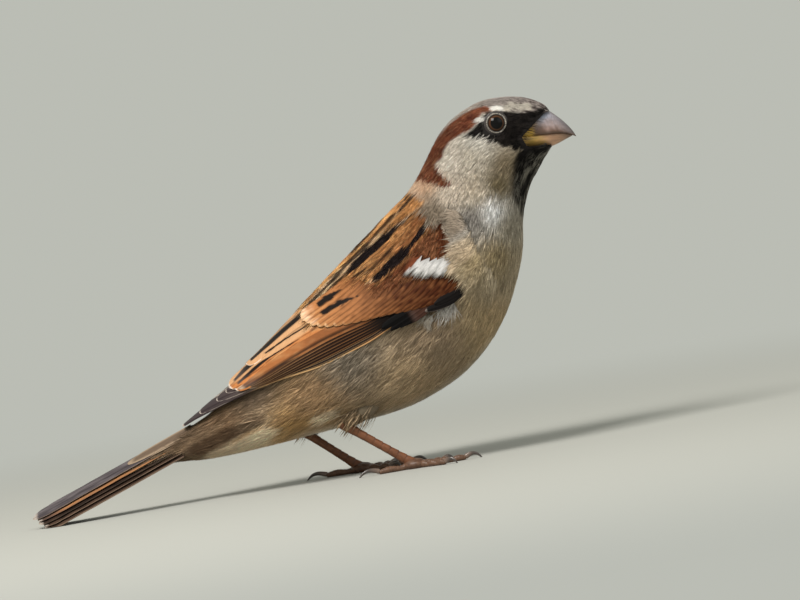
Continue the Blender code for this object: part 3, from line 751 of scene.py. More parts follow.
def back_tone(s, y):
    """The mantle between the wings: buff with black stripes along the back."""
    out = np.abs(y) + 0.5 * (noise(s * 0.4, y * 1.5, 14, 1.0) - 0.5)
    colour = mix(BUFF, BUFF_BROWN, np.clip(0.3 + 1.2 * (noise(s * 0.4, y * 1.4, 15, 1.0) - 0.5), 0, 1))
    for middle, half in BACK_STRIPES:
        dark = step(1.15, 0.75, np.abs(out - middle * (1 - 0.014 * (s - 5))) / half)
        dark = dark * step(0.25, 0.45, noise(s, y + middle, 16, 4.0) + 0.2)
        colour = mix(colour, STRIPE_BLACK, 0.92 * dark)
    return colour


def chestnut_tone(x, y, z):
    colour = mix(CHESTNUT, CHESTNUT_DARK, np.clip(0.35 + 1.3 * (noise(x, z, 9, 0.9) - 0.5), 0, 1))
    speck = step(0.52, 0.78, noise(x * 1.4, z * 1.4 + y, 19, 0.6))
    return mix(colour, CHESTNUT_SPECK, speck * (0.30 + 0.45 * step(76.0, 67.0, z)))


def body_tone(x, y, z, across=0.0):
    """The colour of the head and body plumage; across is the place on a feather, from -1 to 1."""
    out = np.abs(y)
    grain = noise(x, z, 3, 1.3) - 0.5
    colour = plain_tone(x, out, z, across, grain)
    s, h = wing_frame(x, z)
    on_back = step(-2.0, -0.8, h - mantle_top(s)) * step(0.0, 1.2, mantle_front(s, h)) * step(44.0, 36.0, s)
    colour = mix(colour, back_tone(s, y), on_back)
    chestnut = step(-0.35, 0.35, signed_distance(CHESTNUT_EDGE, x, z) + grain * 0.7)
    colour = mix(colour, chestnut_tone(x, y, z), chestnut)

    # The grey crown narrows towards the nape; its feathers have darker centres.
    band = step(0.5, -0.5, out - smooth(GREY_BAND, x)) * step(60.0, 78.0, z)
    grey = np.maximum(step(-0.3, 0.3, z - straight(CROWN_LINE, x)), band) * step(16.0, 21.5, x)
    front = step(31.0, 43.0, x)
    speckle = step(0.45, 0.75, noise(x * 1.3, z * 1.3 + y, 17, 0.55)) * (0.45 + 0.55 * front)
    dark = np.clip(0.10 + 0.30 * front + 0.9 * speckle + 0.4 * grain, 0, 1)
    crown = mix(mix(GREY_CROWN, DARK_CROWN, dark), GREY_NAPE, 0.6 * step(33.0, 24.0, x))
    colour = mix(colour, crown, grey)

    mask = step(-0.3, 0.3, signed_distance(MASK, x, z) + grain * 0.5)
    # On the crown's own slope the mask is only a thin line beside the bill.
    mask = mask * step(2.2, 3.6, out + step(42.0, 38.0, x) * 4)
    black = mix(BLACK, MASK_SPECK, noise(x, z, 4, 0.8) * 0.8)
    colour = mix(colour, black, mask)

    bib = step(-0.3, 0.35, signed_distance(BIB, x, z) + grain * 1.2) * step(9.4, 7.4, out)
    fringe = step(0.35, 0.8, np.abs(across)) * step(69.0, 62.0, z + 0.8 * (36.0 - x))
    hairs = step(0.50, 0.66, noise(x, z, 18, 0.33)) * step(68.5, 62.0, z + 0.7 * (36.0 - x))
    fringe = np.clip(fringe * (1.2 * noise(x, z, 8, 0.9) - 0.1) + 0.9 * hairs, 0, 1)
    colour = mix(colour, mix(black, BIB_FRINGE, 0.45 * fringe), bib)

    # Pale marks round the eye: a streak over it, the brow in front of it and a spot behind it.
    away, _ = distance_to_line(STREAK, x, z)
    colour = mix(colour, CREAM, step(0.60, 0.35, away) * (out > 4.5))
    away, _ = distance_to_line(BROW, x, z)
    brow = step(1.5, 0.4, away + 1.1 * grain + 0.7 * speckle) * (out > 3.2) * (1 - mask)
    colour = mix(colour, BROW_GREY, 0.85 * brow)
    spot = np.hypot((x - EYE_SPOT[0]) / EYE_SPOT_SIZE[0], (z - EYE_SPOT[1]) / EYE_SPOT_SIZE[1])
    return mix(colour, CREAM, step(1.15, 0.85, spot) * (out > 5.0))


def bib_tips(point, colour, lot):
    """Some feathers of the lower bib have pale fringes, and the others are black to the tip."""
    x, y, z = point.T
    on_bib = step(-0.6, 0.2, signed_distance(BIB, x, z)) * step(9.4, 7.4, np.abs(y))
    low = step(70.0, 64.0, z + 0.7 * (36.0 - x))
    colour = mix(colour, BLACK, 0.8 * on_bib)
    return mix(colour, BIB_FRINGE, 0.8 * step(0.68, 0.74, lot) * low * on_bib)


def body_paint(point, across, _):
    return body_tone(*point.T, across)


# Mantle, scapulars and lesser coverts, in the wing's own frame (s along it, h up across it).
BUFF = (0.78, 0.40, 0.155)
BUFF_PALE = (0.92, 0.66, 0.42)
WARM_BROWN = (0.33, 0.125, 0.050)
BUFF_BROWN = (0.42, 0.18, 0.060)
STRIPE_BLACK = (0.022, 0.015, 0.015)
LESSER = (0.145, 0.042, 0.018)
LESSER_PALE = (0.40, 0.18, 0.085)
BAR_WHITE = (0.50, 0.485, 0.47)
BAR_BUFF = (0.55, 0.43, 0.30)
# Black and pale lines of the mantle: (line, half width at its start and at its end, strength).
STRIPES = (
    (((4.0, 18.9), (7.1, 17.0), (11.3, 16.0), (15.6, 14.3), (19.4, 13.7), (23.3, 12.8), (26.5, 11.6)),
     1.05, 0.9, 1.0),
    (((0.9, 14.3), (3.8, 12.7), (7.4, 11.1), (10.4, 9.8)), 0.9, 0.55, 1.0),
    (((10.8, 9.7), (14.1, 9.0), (16.9, 8.2), (22.4, 7.1)), 1.35, 0.8, 1.0),
    (((8.9, 18.6), (14.1, 17.1), (21.0, 14.8), (25.8, 13.7), (32.7, 11.5), (39.4, 9.7)), 0.5, 0.4, 0.85),
    (((22.6, 10.5), (25.0, 10.3), (28.2, 9.6), (30.1, 9.2)), 0.4, 0.5, 0.85),
    (((28.4, 9.1), (30.7, 9.2), (33.2, 9.0), (34.6, 8.7)), 0.7, 0.7, 1.0),
    (((27.0, 6.9), (30.4, 7.0), (33.0, 6.7)), 0.6, 0.55, 1.0),
    (((2.5, 21.6), (9.0, 20.8), (16.0, 17.9), (24.0, 15.4)), 0.45, 0.4, 0.85),
    (((14.0, 11.8), (18.5, 10.6), (22.5, 9.4)), 0.35, 0.4, 0.8),
    (((-0.5, 17.2), (3.0, 15.6), (5.5, 14.6)), 0.4, 0.3, 0.75),
    (((24.5, 12.6), (29.0, 11.2), (34.0, 10.1)), 0.45, 0.35, 0.85),
    (((16.5, 6.2), (20.0, 6.0), (24.0, 6.6)), 0.4, 0.4, 0.7),
)
# Below this line the wing's lesser coverts are plain chestnut.
MANTLE_LOW = ((-5, 14.0), (1, 12.6), (4, 11.2), (11, 8.1), (17, 6.5), (21, 6.1), (30, 6.0))
PALE_LINES = (
    (((6.0, 18.9), (10.0, 17.4), (16.0, 15.6), (24.0, 13.4), (29.0, 12.4), (34.0, 11.0), (40.5, 8.6)),
     0.9, 1.2, 0.75),
    (((35.4, 9.6), (38.0, 8.9), (41.0, 8.2)), 1.6, 1.2, 1.0),
    (((22.0, 7.3), (27.0, 7.9), (31.5, 8.0), (36.5, 7.4)), 0.5, 0.6, 0.5),
)
# Above this line the median coverts are no longer pale.
BAR_TOP = ((-2.0, 0.6), (1.7, 1.8), (3.0, 3.4), (5.2, 4.3), (6.7, 5.8), (8.4, 6.4), (11.9, 5.3),
           (14.6, 4.9))


def mantle_tone(s, h, across):
    grain = noise(s * 0.45, h * 1.7, 6, 1.0) - 0.5
    colour = mix(BUFF, BUFF_BROWN, np.clip(0.22 + 1.2 * grain, 0, 1))
    colour = colour * (1 + 0.35 * step(6.0, 16.0, s))[..., None]
    edge = step(0.45, 1.0, np.abs(across)) * (0.35 + 0.45 * step(17.0, 30.0, s))
    colour = mix(colour, BUFF_PALE, edge)
    # Towards the lesser coverts the feathers turn chestnut.
    warm = step(8.0, 2.5, h - straight(MANTLE_LOW, s)) * step(28.0, 13.0, s)
    colour = mix(colour, WARM_BROWN, np.clip(0.75 * warm + 0.6 * grain * warm, 0, 1))
    for line, first, last, strength in PALE_LINES:
        away, share = distance_to_line(line, s, h)
        colour = mix(colour, BUFF_PALE, strength * step(1.0, 0.5, away / (first + (last - first) * share)))
    # Fine dark shaft streaks between the bold stripes.
    fine = step(0.30, 0.05, np.abs(across)) * step(0.40, 0.62, noise(s, h, 12, 3.0))
    colour = mix(colour, STRIPE_BLACK, 0.75 * fine)
    for line, first, last, strength in STRIPES:
        away, share = distance_to_line(line, s, h)
        ends = step(0.0, 0.05, share) * step(1.0, 0.93, share)
        broad = (first + (last - first) * share) * (0.35 + 0.65 * ends)
        colour = mix(colour, STRIPE_BLACK, strength * step(1.15, 0.85, (away + grain * 0.45) / broad))
    return colour


def lesser_tone(s, h, across):
    patch = noise(s, h, 21, 1.6) - 0.35
    edge = step(0.4, 0.9, np.abs(across))
    return mix(LESSER, LESSER_PALE, np.clip(0.15 + 0.9 * patch + 0.35 * edge, 0, 1))


# ---------------------------------------------------------------- materials


def set_inputs(made, node, inputs):
    """Sets a node's inputs, each by a value or by the socket it is linked to."""
    for name, value in inputs.items():
        if isinstance(value, bpy.types.NodeSocket):
            made.node_tree.links.new(value, node.inputs[name])
        else:
            node.inputs[name].default_value = value


def add_node(made, kind, inputs, operation=None):
    node = made.node_tree.nodes.new("ShaderNode" + kind)
    if operation:
        node.operation = operation
    set_inputs(made, node, inputs)
    return node


def node_material(name, roughness, grain_scale, tint=0.12, relief_depth=0.0, relief=0.0, coat=0.0,
                  coat_roughness=0.1, coat_ior=1.5, specular=0.5, stretch=(1, 1, 1)):
    """A Principled material coloured by the mesh's tone, with fine noise in colour and relief."""
    made = bpy.data.materials.new(name)
    made.use_nodes = True
    tone = add_node(made, "Attribute", {})
    tone.attribute_name = "tone"
    place = add_node(made, "TexCoord", {})
    mapping = add_node(made, "Mapping", {"Vector": place.outputs["Object"], "Scale": stretch})
    grain = add_node(made, "TexNoise", {"Vector": mapping.outputs["Vector"], "Scale": grain_scale,
                                        "Detail": 3.0})
    level = add_node(made, "MapRange", {"Value": grain.outputs["Fac"], "From Min": 0.25, "From Max": 0.75,
                                        "To Min": 1 - tint, "To Max": 1 + tint})
    varied = add_node(made, "VectorMath", {0: tone.outputs["Color"], "Scale": level.outputs["Result"]},
                      "SCALE")
    shader = made.node_tree.nodes["Principled BSDF"]
    set_inputs(made, shader, {
        "Base Color": varied.outputs["Vector"],
        "Roughness": roughness,
        "Specular IOR Level": specular,
        "Coat Weight": coat,
        "Coat Roughness": coat_roughness,
        "Coat IOR": coat_ior,
    })
    if relief:
        bump = add_node(made, "Bump", {"Strength": relief, "Distance": relief_depth * MM,
                                       "Height": grain.outputs["Fac"]})
        set_inputs(made, shader, {"Normal": bump.outputs["Normal"]})
    return made


DOWN = node_material("contour feathers", 0.75, 1400.0, tint=0.08, specular=0.07)
SKIN = node_material("skin and down", 0.8, 2500.0, relief_depth=0.2, relief=0.5, specular=0.15)
HORN = node_material("bill horn", 0.34, 900.0, tint=0.16, relief_depth=0.07, relief=0.5, coat=0.3,
                     coat_roughness=0.2, stretch=(0.28, 1.0, 1.5))
SCUTES = node_material("leg scales", 0.45, 1800.0, tint=0.15, relief_depth=0.10, relief=0.4, specular=0.28)
CLAW = node_material("claw horn", 0.30, 1500.0, relief_depth=0.03, relief=0.3, coat=0.2)
EYE_WET = node_material("wet eye", 0.5, 2500.0, tint=0.05, coat=1.0, coat_roughness=0.015, coat_ior=1.22,
                        specular=0.0)
LID = node_material("eyelid skin", 0.45, 4000.0, relief_depth=0.05, relief=0.4)

# ---------------------------------------------------------------- skin

WING_COVER = 0.4  # how far inside the wing's outline the skin starts to sink
SKIN_SINK = 1.6  # how much deeper the skin lies under the wings and round the eyes
BARE_SKIN = (0.02, 0.017, 0.016)
THIGH_SKIN = (0.16, 0.125, 0.085)
THIGH_DEPTH = 0.7
FACE_END = ((71.8, 44.4), (72.0, 38.6), (74.8, 37.4), (79.5, 43.6), (80.35, 46.0))  # x over height


def coat_depth(point):
    """Depth of the feather coat over the skin, thinner on the face and round the eyes."""
    depth = 0.45 + 0.8 * step(44.0, 18.0, point[..., 0] - 0.3 * (point[..., 2] - 75.0))
    low_or_rear = 0.9 * step(76.0, 58.0, point[..., 2]) + 0.8 * step(30.0, 14.0, point[..., 0])
    return np.minimum(depth, 0.45 + low_or_rear)


# The coat's own face line: the chin's feathers stand a little higher than the solid, up to the bill.
COAT_LINE = ((60, 86.6), (45.4, 80.35), (43.4, 79.5), (37.1, 74.9), (38.2, 72.0), (44.4, 71.9), (60, 72.3))
EYE_CLEAR = 2.35


def eye_centre(sign):
    """The eyeball's centre: its opening lies in the side of the head."""
    u = np.linspace(14.0, 19.0, 120)
    a = np.linspace(0.6, 2.6, 160)
    uu, aa = np.meshgrid(u, a, indexing="ij")
    p = body_point(uu, aa)
    k = np.argmin((p[..., 0] - EYE_AT[0]) ** 2 + (p[..., 2] - EYE_AT[1]) ** 2)
    side = p[..., 1].ravel()[k]
    return np.array((EYE_AT[0], sign * (side - math.sqrt(EYEBALL**2 - EYE_OPENING**2)), EYE_AT[1]))


EYES = {side: eye_centre(sign) for side, sign in SIDES}


def make_skin():
    """One closed skin under the coat, from the tail's root to the bill, and the thighs' own."""
    u = np.linspace(0.3, len(BODY) - 1.0, 220)
    a = np.linspace(0.0, 2 * math.pi, 181)[:-1]
    uu, aa = np.meshgrid(u, a, indexing="ij")
    point, normal, _, _ = BODY_SURFACE.at(uu, aa)
    depth = coat_depth(point)
    x, y, z = np.moveaxis(point, -1, 0)
    tone = body_tone(x, y, z) * 0.7
    for side, sign in SIDES:
        # Round the eye the skin is bare, dark, and sinks behind the lids.
        away = np.linalg.norm(point - (EYES[side] + (0, sign * 1.3, 0)), axis=-1)
        depth = depth + SKIN_SINK * step(2.5, 1.9, away)
        tone = mix(tone, BARE_SKIN, step(3.1, 2.6, away))
        # Under the folded wing it lies deeper.
        depth = depth + SKIN_SINK * wing_shade(x, y, z, sign)
    rings = point - normal * depth[..., None]
    # The face ends inside the bill's base.
    rings[..., 0] = np.minimum(rings[..., 0], straight(FACE_END, rings[..., 2]))
    skin = Shape("skin")
    skin.add(rings, tone)
    for side, _ in SIDES:
        thigh = thigh_rings(side)
        skin.add(thigh, np.broadcast_to(THIGH_SKIN, thigh.shape))
    skin.finish(SKIN, "plumage_grey", ("head", "neck", "trunk", "rump", "thigh_right", "thigh_left"))


def wing_shade(x, y, z, sign, margin=WING_COVER):
    """1 where a point of the body is well under the folded wing on one side, 0 outside it."""
    s, h = wing_frame(x, z)
    low = smooth(LOW_EDGE, s) + margin
    top = mantle_top(s)
    covered = step(0.0, 1.0, h - low) * step(-0.5, 1.5, s + 1.0) * step(0.0, 1.0, WING_LENGTH - 2 - s)
    beside = step(0.0, 1.5, sign * y - straight(MANTLE_EDGE, s))
    return covered * beside * (h < top + 6.0)


def thigh_line(side, sign):
    """The ends of a thigh: the knee, and just short of the ankle."""
    knee, ankle = (on_side(table, side, sign) for table in (KNEE, ANKLE))
    return knee, knee + (ankle - knee) * 0.985


def thigh_point(side, sign, t, angle):
    """Points of the feathered drumstick: t from knee to ankle, angle round it."""
    knee, ankle = thigh_line(side, sign)
    ahead = unit(ankle - knee)
    out = unit(np.cross(ahead, (0.0, 0.0, 1.0)))
    up = np.cross(out, ahead)
    radius = TIBIA_RADII[0] + (TIBIA_RADII[1] - TIBIA_RADII[0]) * np.clip(t, 0, 1) ** 1.1
    radius = radius * np.sqrt(np.clip(1 - (np.clip(-t, 0, 1) / 0.35) ** 2, 0.04, 1))
    centre = knee + (ankle - knee) * np.asarray(t)[..., None]
    ring = np.cos(angle)[..., None] * out + np.sin(angle)[..., None] * up
    return centre + ring * radius[..., None]


THIGH_SURFACES = {
    side: Surface(
        lambda t, a, side=side, sign=sign: thigh_point(side, sign, t, a),
        np.linspace(-0.3, 1.0, 60),
        np.linspace(0.0, 2 * math.pi, 65),
        core=sum(thigh_line(side, sign)) / 2,
        wraps=True,
    )
    for side, sign in SIDES
}


def thigh_rings(side):
    """Rings of the skin inside a thigh."""
    surface = THIGH_SURFACES[side]
    t = np.linspace(-0.28, 1.0, 30)
    a = np.linspace(0.0, 2 * math.pi, 33)[:-1]
    tt, aa = np.meshgrid(t, a, indexing="ij")
    point, normal, _, _ = surface.at(tt, aa)
    rings = point - normal * (THIGH_DEPTH * (1 - 0.6 * tt.clip(0, 1)))[..., None]
    # The upper thigh draws in, so that the flank's own coat covers it.
    middle = (surface.at(tt, aa + math.pi)[0] + point) / 2
    return middle + (rings - middle) * np.interp(tt, (0.45, 0.72), (0.35, 1.0))[..., None]


# ---------------------------------------------------------------- the coat of the head and body


def head_spacing(point):
    """Distance between feathers: least on the face, most on the belly."""
    x, z = point[..., 0], point[..., 2]
    face = step(26.0, 40.0, x) * step(66.0, 74.0, z)
    head = step(58.0, 70.0, z)
    spacing = 1.30 - 0.36 * head
    return spacing - 0.30 * face


def feather_length(point):
    x, z = point[..., 0], point[..., 2]
    face = step(24.0, 41.0, x) * step(68.0, 75.0, z)
    head = step(52.0, 72.0, z)
    rear = step(-10.0, -34.0, x)
    return (8.4 - 3.2 * head + 1.4 * rear) * (1 - face) + 2.3 * face


def body_flow(point, along, _):
    """The lie of the coat: towards the tail, sweeping down over the flanks."""
    way = unit(-along)
    x, y, z = point.T
    flank = step(52.0, 44.0, z) * step(-34.0, -14.0, x) * step(3.0, 8.0, np.abs(y))
    down = np.array((-0.25, 0.0, -1.0))
    way = unit(way + 0.42 * flank[:, None] * down)
    # At the bend of the wing the breast's feathers sweep back over it.
    sweep = step(40.0, 47.0, z) * step(60.0, 52.0, z) * step(8.0, 14.0, np.abs(y))
    way = unit(way + 0.5 * sweep[:, None] * np.array((-0.9, 0.0, 0.1)))
    # They part round the eye.
    for side_name, sign in SIDES:
        out = point - EYES[side_name]
        out[:, 1] = 0.0
        away = np.linalg.norm(out, axis=1)
        out = unit(out)
        near = step(6.0, 3.2, away) * (y * sign > 0)
        inwards = np.clip(-np.sum(way * out, axis=1), 0.0, None)
        way = unit(way + (1.15 * inwards * near)[:, None] * out)
    return way


def body_root(a, _, point):
    """Whether the body's coat has roots here: not under the bill, an eye or a wing."""
    x, y, z = point.T
    keep = ~inside(COAT_LINE, x + 0.2, z) & (np.hypot(x - EYE_AT[0], z - EYE_AT[1]) >= EYE_CLEAR)
    for _, sign in SIDES:
        keep &= wing_shade(x, y, z, sign, margin=1.8) < 0.5
    return keep & (a > 0.6)


def body_place(a, b):
    """A blade's place on the body's unwrap: round the body, and along it."""
    return np.stack([(b / (2 * math.pi)) % 1.0, a / (len(BODY) - 1.0)], axis=-1)


FACE_FANS = dict(blade=0.13, spray=0.16, lift=0.10, shade=HEAD_SHADE, tone_range=(0.08, 0.30))
HEAD_FANS = dict(blade=0.14, spray=0.10, lift=0.11, shade=HEAD_SHADE, tone_range=(0.10, 0.36))
BODY_FANS = dict(blade=0.155, spray=0.19, lift=0.20, shade=BODY_SHADE, tone_range=(0.18, 0.75))
FACE_LENGTH = 3.2  # feathers shorter than this are the face's


def make_body_coat():
    rng = np.random.default_rng(SEED)
    a, b, point = scatter(BODY_SURFACE, head_spacing, rng, body_root)
    length, spacing = feather_length(point), head_spacing(point)
    x, y, z = point.T
    # In front of the shoulder they stop short of the wing's chestnut coverts.
    s, h = wing_frame(x, z)
    shoulder = (h > 5.0) & (h < 15.0) & (s < 1.0) & (np.abs(y) > 5.0)
    length = np.where(shoulder, np.minimum(length, np.maximum(0.8 - s, 1.8)), length)
    head = z - 0.25 * x > 56.0
    breast, rump = ~head & (x > 6.0), ~head & (x <= -24.0)
    right, left = ("_right", y <= 0), ("_left", y > 0)
    for zone, within, count, halves in (
        ("head", head, 17, (right, left)),
        ("breast", breast, 22, (right, left)),
        ("belly", ~(head | breast | rump), 23, (right, left)),
        ("rump", rump, 18, (("", True),)),
    ):
        for half, on_half in halves:
            coat = Coat("coat_" + zone + half)
            pick = within & on_half
            face = (length < FACE_LENGTH) & pick
            plain = pick & ~face
            for group, fans in ((face, FACE_FANS), (plain & head, HEAD_FANS), (plain & ~head, BODY_FANS)):
                lay_fans(coat, BODY_SURFACE, a[group], b[group], body_flow, length[group],
                         spacing[group] * 1.2, count, coat_depth, body_paint, rng, body_place,
                         camber=0.04, ragged=0.6, tips=bib_tips, **fans)
            coat.finish(DOWN, "plumage_grey")


THIGH_FANS = dict(blade=0.14, lift=0.25, ragged=0.8, spray=0.22, shade=BODY_SHADE, tone_range=(0.2, 0.7))
HANGING = 150  # loose feathers that hang from the end of each thigh


def thigh_place(a, b):
    return np.stack([(b / (2 * math.pi)) % 1.0, (a + 0.3) / 1.3], axis=-1)


# Painted shade: the thigh's feathers are darker than the body's tone, and darker still towards the ankle.
def shaded_thigh_paint(point, _, a):
    return body_tone(*point.T) * (0.80 - 0.25 * a.clip(0, 1))[:, None]


def thigh_flow(_point, along, _side):
    return unit(along) + (-0.15, 0.0, -0.5)


def make_thigh_coat():
    rng = np.random.default_rng(SEED + 1)
    for side, sign in SIDES:
        surface = THIGH_SURFACES[side]
        coat = Coat("coat_thigh_" + side)
        a, b, _ = scatter(surface, 1.0, rng, lambda a, b, point: (a < 0.95) & (a > 0.72))
        lay_fans(coat, surface, a, b, thigh_flow, 3.6, 0.9, 10, 0.6, shaded_thigh_paint, rng, thigh_place,
                 **THIGH_FANS)
        a, b = 0.62 + 0.36 * rng.random(HANGING), 2 * math.pi * rng.random(HANGING)
        start, normal, _, _ = surface.at(a, b)
        knee, ankle = thigh_line(side, sign)
        way = np.array((-0.45, 0.0, -0.75)) + unit(ankle - knee) * 0.55
        way = unit(way + 0.30 * (rng.random((HANGING, 3)) - 0.5) + 0.12 * normal)
        reach = (2.2 + 3.0 * rng.random(HANGING))[:, None]
        broad = 0.15 + 0.09 * rng.random(HANGING)
        tone = body_tone(*start.T) * (0.30 + 0.65 * rng.random(HANGING))[:, None]
        # Darker at the root, partly painted shade where the strands tuck in.
        coat.add_strands(start - normal * 0.4, start + way * 0.5 * reach + normal * 0.12,
                         start + way * reach - normal * 0.1, normal, np.stack([broad, broad], axis=1),
                         np.stack([tone * 0.6, tone, tone * 1.1], axis=1), thigh_place(a, b))
        coat.finish(DOWN, "plumage_grey")


STRANDS = 420
STRAND_FANS = dict(blade=0.13, lift=0.35, shade=BODY_SHADE, ragged=0.8, spray=0.30, base=0.12,
                   tone_range=(0.1, 0.5))
FLANK_TOP = ((-34.0, 22.0), (-14.0, 31.0), (6.0, 36.5), (14.0, 40.0))  # height over x
FLANK_REACH = ((-33.0, 0.55), (0.0, 1.0), (14.0, 0.8))


def make_flank_strands(side, sign):
    """Long loose barbs that lie over the flank, the belly's side and the vent."""
    rng = np.random.default_rng(SEED + 80 + (sign > 0))
    coat = Coat("coat_flank_strands_" + side)
    x = -33.0 + 47.0 * rng.random(STRANDS)
    z = straight(FLANK_TOP, x) - 1.0 - (1.5 + 15.0 * rng.random(STRANDS) ** 1.2) * straight(FLANK_REACH, x)
    a, b = body_roots(zip(x, z), sign)
    length = 6.0 + 4.5 * rng.random(STRANDS)
    tint = rng.random(STRANDS)

    def paint(point, *_):
        return body_tone(*point.T) * (0.72 + 0.62 * np.repeat(tint, len(point) // STRANDS))[:, None]

    lay_fans(coat, BODY_SURFACE, a, b, body_flow, length, 1.1, 6, 0.5, paint, rng, body_place,
             **STRAND_FANS)
    coat.finish(DOWN, "plumage_grey")


# ---------------------------------------------------------------- soft feathers of the wing

SCAPULAR_FANS = dict(blade=0.175, lift=0.12, camber=0.08, ragged=0.45, spray=0.10, base=0.35,
                     tone_range=(0.15, 0.75))
LESSER_FANS = dict(blade=0.17, lift=0.12, camber=0.08, ragged=0.45, spray=0.12, base=0.35,
                   tone_range=(0.2, 0.7))
# Darker at the root, partly painted shade between the coverts.
MEDIAN_FANS = dict(blade=0.24, lift=0.0, shade=(0.85, 1.0, 1.0), camber=0.3, ragged=0.4, base=0.75,
                   spray=0.06, tone_range=(0.10, 0.30))
BEND_FANS = dict(blade=0.19, lift=0.55, camber=0.05, ragged=0.6, spray=0.26, tone_range=(0.25, 0.6))
TUFT_FANS = dict(blade=0.12, lift=0.5, ragged=0.9, spray=0.35, base=0.3, tone_range=(0.1, 0.5))
# Tips of the median coverts in the wing's frame, from the foremost back.
MEDIAN_TIPS = ((3.8, -0.7), (5.6, -0.2), (7.4, 0.4), (9.0, 1.2), (10.6, 2.1), (12.0, 2.9), (13.4, 4.2))
MEDIAN_REACH = (5.6, -2.6)  # from a median covert's root to its tip
BUFF_TIPPED = 2  # the foremost median coverts
BEND_PLUMES = 300
BEND_TURN = ((-5.0, -0.75), (-1.0, -0.35), (3.0, -0.15), (8.0, 0.20), (13.0, 0.35))
BEND_FRONT = ((-6, 4.2), (3, 3.4), (6, 0.8), (10, 0.6))
BEND_SHADE = (0.30, 0.235, 0.17)
TUFTS = 20
TUFT_WHITE = (0.60, 0.56, 0.52)
TUFT_GREY = (0.42, 0.37, 0.31)


def wing_place(a, b):
    return np.stack([(a + 5.0) / 50.0, b], axis=-1)


def frame_of(point):
    return wing_frame(point[..., 0], point[..., 2])


def side_view(along, up):
    """A direction in the wing's frame as one in space."""
    way = np.asarray(along)[..., None] * ALONG + np.asarray(up)[..., None] * ACROSS
    return np.stack([way[..., 0], np.zeros(way.shape[:-1]), way[..., 1]], axis=-1)


def make_lesser_coverts(side, rng):
    def keep(_a, _b, point):
        s, h = frame_of(point)
        low = smooth(BAR_LINE, s) + 1.0
        return (h < smooth(SCAPULAR_LINE, s) + 1.2) & (h > low) & (s < 20.0) & (s > -3.5)

    def flow(_point, along, across):
        return unit(along) + 0.45 * unit(across)

    def paint(point, across, _):
        s, h = frame_of(point)
        border = h - straight(MANTLE_LOW, s) + 0.8 * (noise(s * 0.7, h, 24, 1.0) - 0.5)
        return mix(lesser_tone(s, h, across), mantle_tone(s, h, across), step(-0.4, 0.4, border))

    surface = WING_SURFACES[side]
    coat = Coat("coat_lesser_coverts_" + side)
    a, b, _ = scatter(surface, 1.35, rng, keep)
    lay_fans(coat, surface, a, b, flow, 5.2, 1.5, 20, 1.0, paint, rng, wing_place, **LESSER_FANS)
    coat.finish(DOWN, "plumage_brown", ("shoulder_coverts_" + side,))


def make_scapulars(side, rng):
    """The mantle's side and the scapulars."""

    def keep(_, b, point):
        s, h = frame_of(point)
        return (h > smooth(SCAPULAR_LINE, s) + 0.8) & (s < 32.5) & (mantle_front(s, h) > -1.5) & (b > 0.02)

    def flow(_point, along, across):
        return unit(along) + 0.10 * unit(across)

    def paint(point, across, _):
        return mantle_tone(*frame_of(point), across)

    surface = WING_SURFACES[side]
    coat = Coat("coat_scapulars_" + side)
    a, b, point = scatter(surface, 1.5, rng, keep)
    length = 7.5 + 2.5 * step(10.0, 30.0, frame_of(point)[0])
    lay_fans(coat, surface, a, b, flow, length, 1.5, 26, 1.0, paint, rng, wing_place, **SCAPULAR_FANS)
    coat.finish(DOWN, "plumage_brown", ("scapulars_" + side,))


def make_median_coverts(side, rng):
    """White tips in a short bar, the foremost buff."""
    coat = Coat("coat_median_coverts_" + side)
    for number, (s1, h1) in enumerate(MEDIAN_TIPS):
        root_s = np.array((s1 - MEDIAN_REACH[0],))
        root_q = arch_q(root_s, np.array((h1 - MEDIAN_REACH[1],)))
        pale = BAR_BUFF if number < BUFF_TIPPED else BAR_WHITE

        def paint(point, *_, pale=pale):
            s, h = frame_of(point)
            ragged = 1.3 * (noise(s * 0.8, h * 0.3, 23, 0.6) - 0.5)
            return mix(LESSER, pale, step(-0.5, 0.1, straight(BAR_TOP, s) - h + ragged))

        lay_fans(coat, WING_SURFACES[side], root_s, root_q, lambda *_: side_view(*MEDIAN_REACH),
                 math.hypot(*MEDIAN_REACH) + 0.8, 1.55, 70, 0.15, paint, rng, wing_place, **MEDIAN_FANS)
    coat.finish(DOWN, "plumage_grey")


def make_wing_bend(side, sign, rng):
    """Plumes of the breast that sweep back over the bend of the wing."""
    surface = WING_SURFACES[side]
    h = -6.5 + 17.5 * rng.random(BEND_PLUMES) ** 1.3
    s = -5.2 + rng.random(BEND_PLUMES) * straight(BEND_FRONT, h)
    a, b = body_roots(WING_BEND + s[:, None] * ALONG + h[:, None] * ACROSS, sign)
    length = 4.6 + 2.6 * rng.random(BEND_PLUMES) - 2.3 * step(4.5, 6.5, h) + 1.8 * step(-1.5, -4.0, h)

    def over_wing(point):
        """How far the wing's bend stands out over the body."""
        s, h = frame_of(point)
        wing = surface.at(s, arch_q(s, h))[0]
        on = step(-4.2, -2.2, s) * step(-1.5, 0.5, h - smooth(LOW_EDGE, s))
        return 0.35 + np.clip(np.abs(wing[:, 1]) - np.abs(point[:, 1]) + 0.35, 0.0, 4.0) * on

    def flow(point, *_):
        return side_view(np.ones(len(point)), straight(BEND_TURN, frame_of(point)[1]))

    def paint(point, *_):
        h = frame_of(point)[1]
        tone = ground_tone(point[:, 0] + 5.0, point[:, 2] - 1.0)
        tone = mix(tone, BAR_BUFF, 0.75 * step(-1.0, 1.5, h) * step(6.5, 4.5, h))
        return mix(tone, BEND_SHADE, 0.8 * step(5.5, 8.0, h))

    coat = Coat("coat_wing_bend_" + side)
    lay_fans(coat, BODY_SURFACE, a, b, flow, length, 1.5, 16, 0.6, paint, rng, body_place, base=over_wing,
             **BEND_FANS)
    coat.finish(DOWN, "plumage_grey")


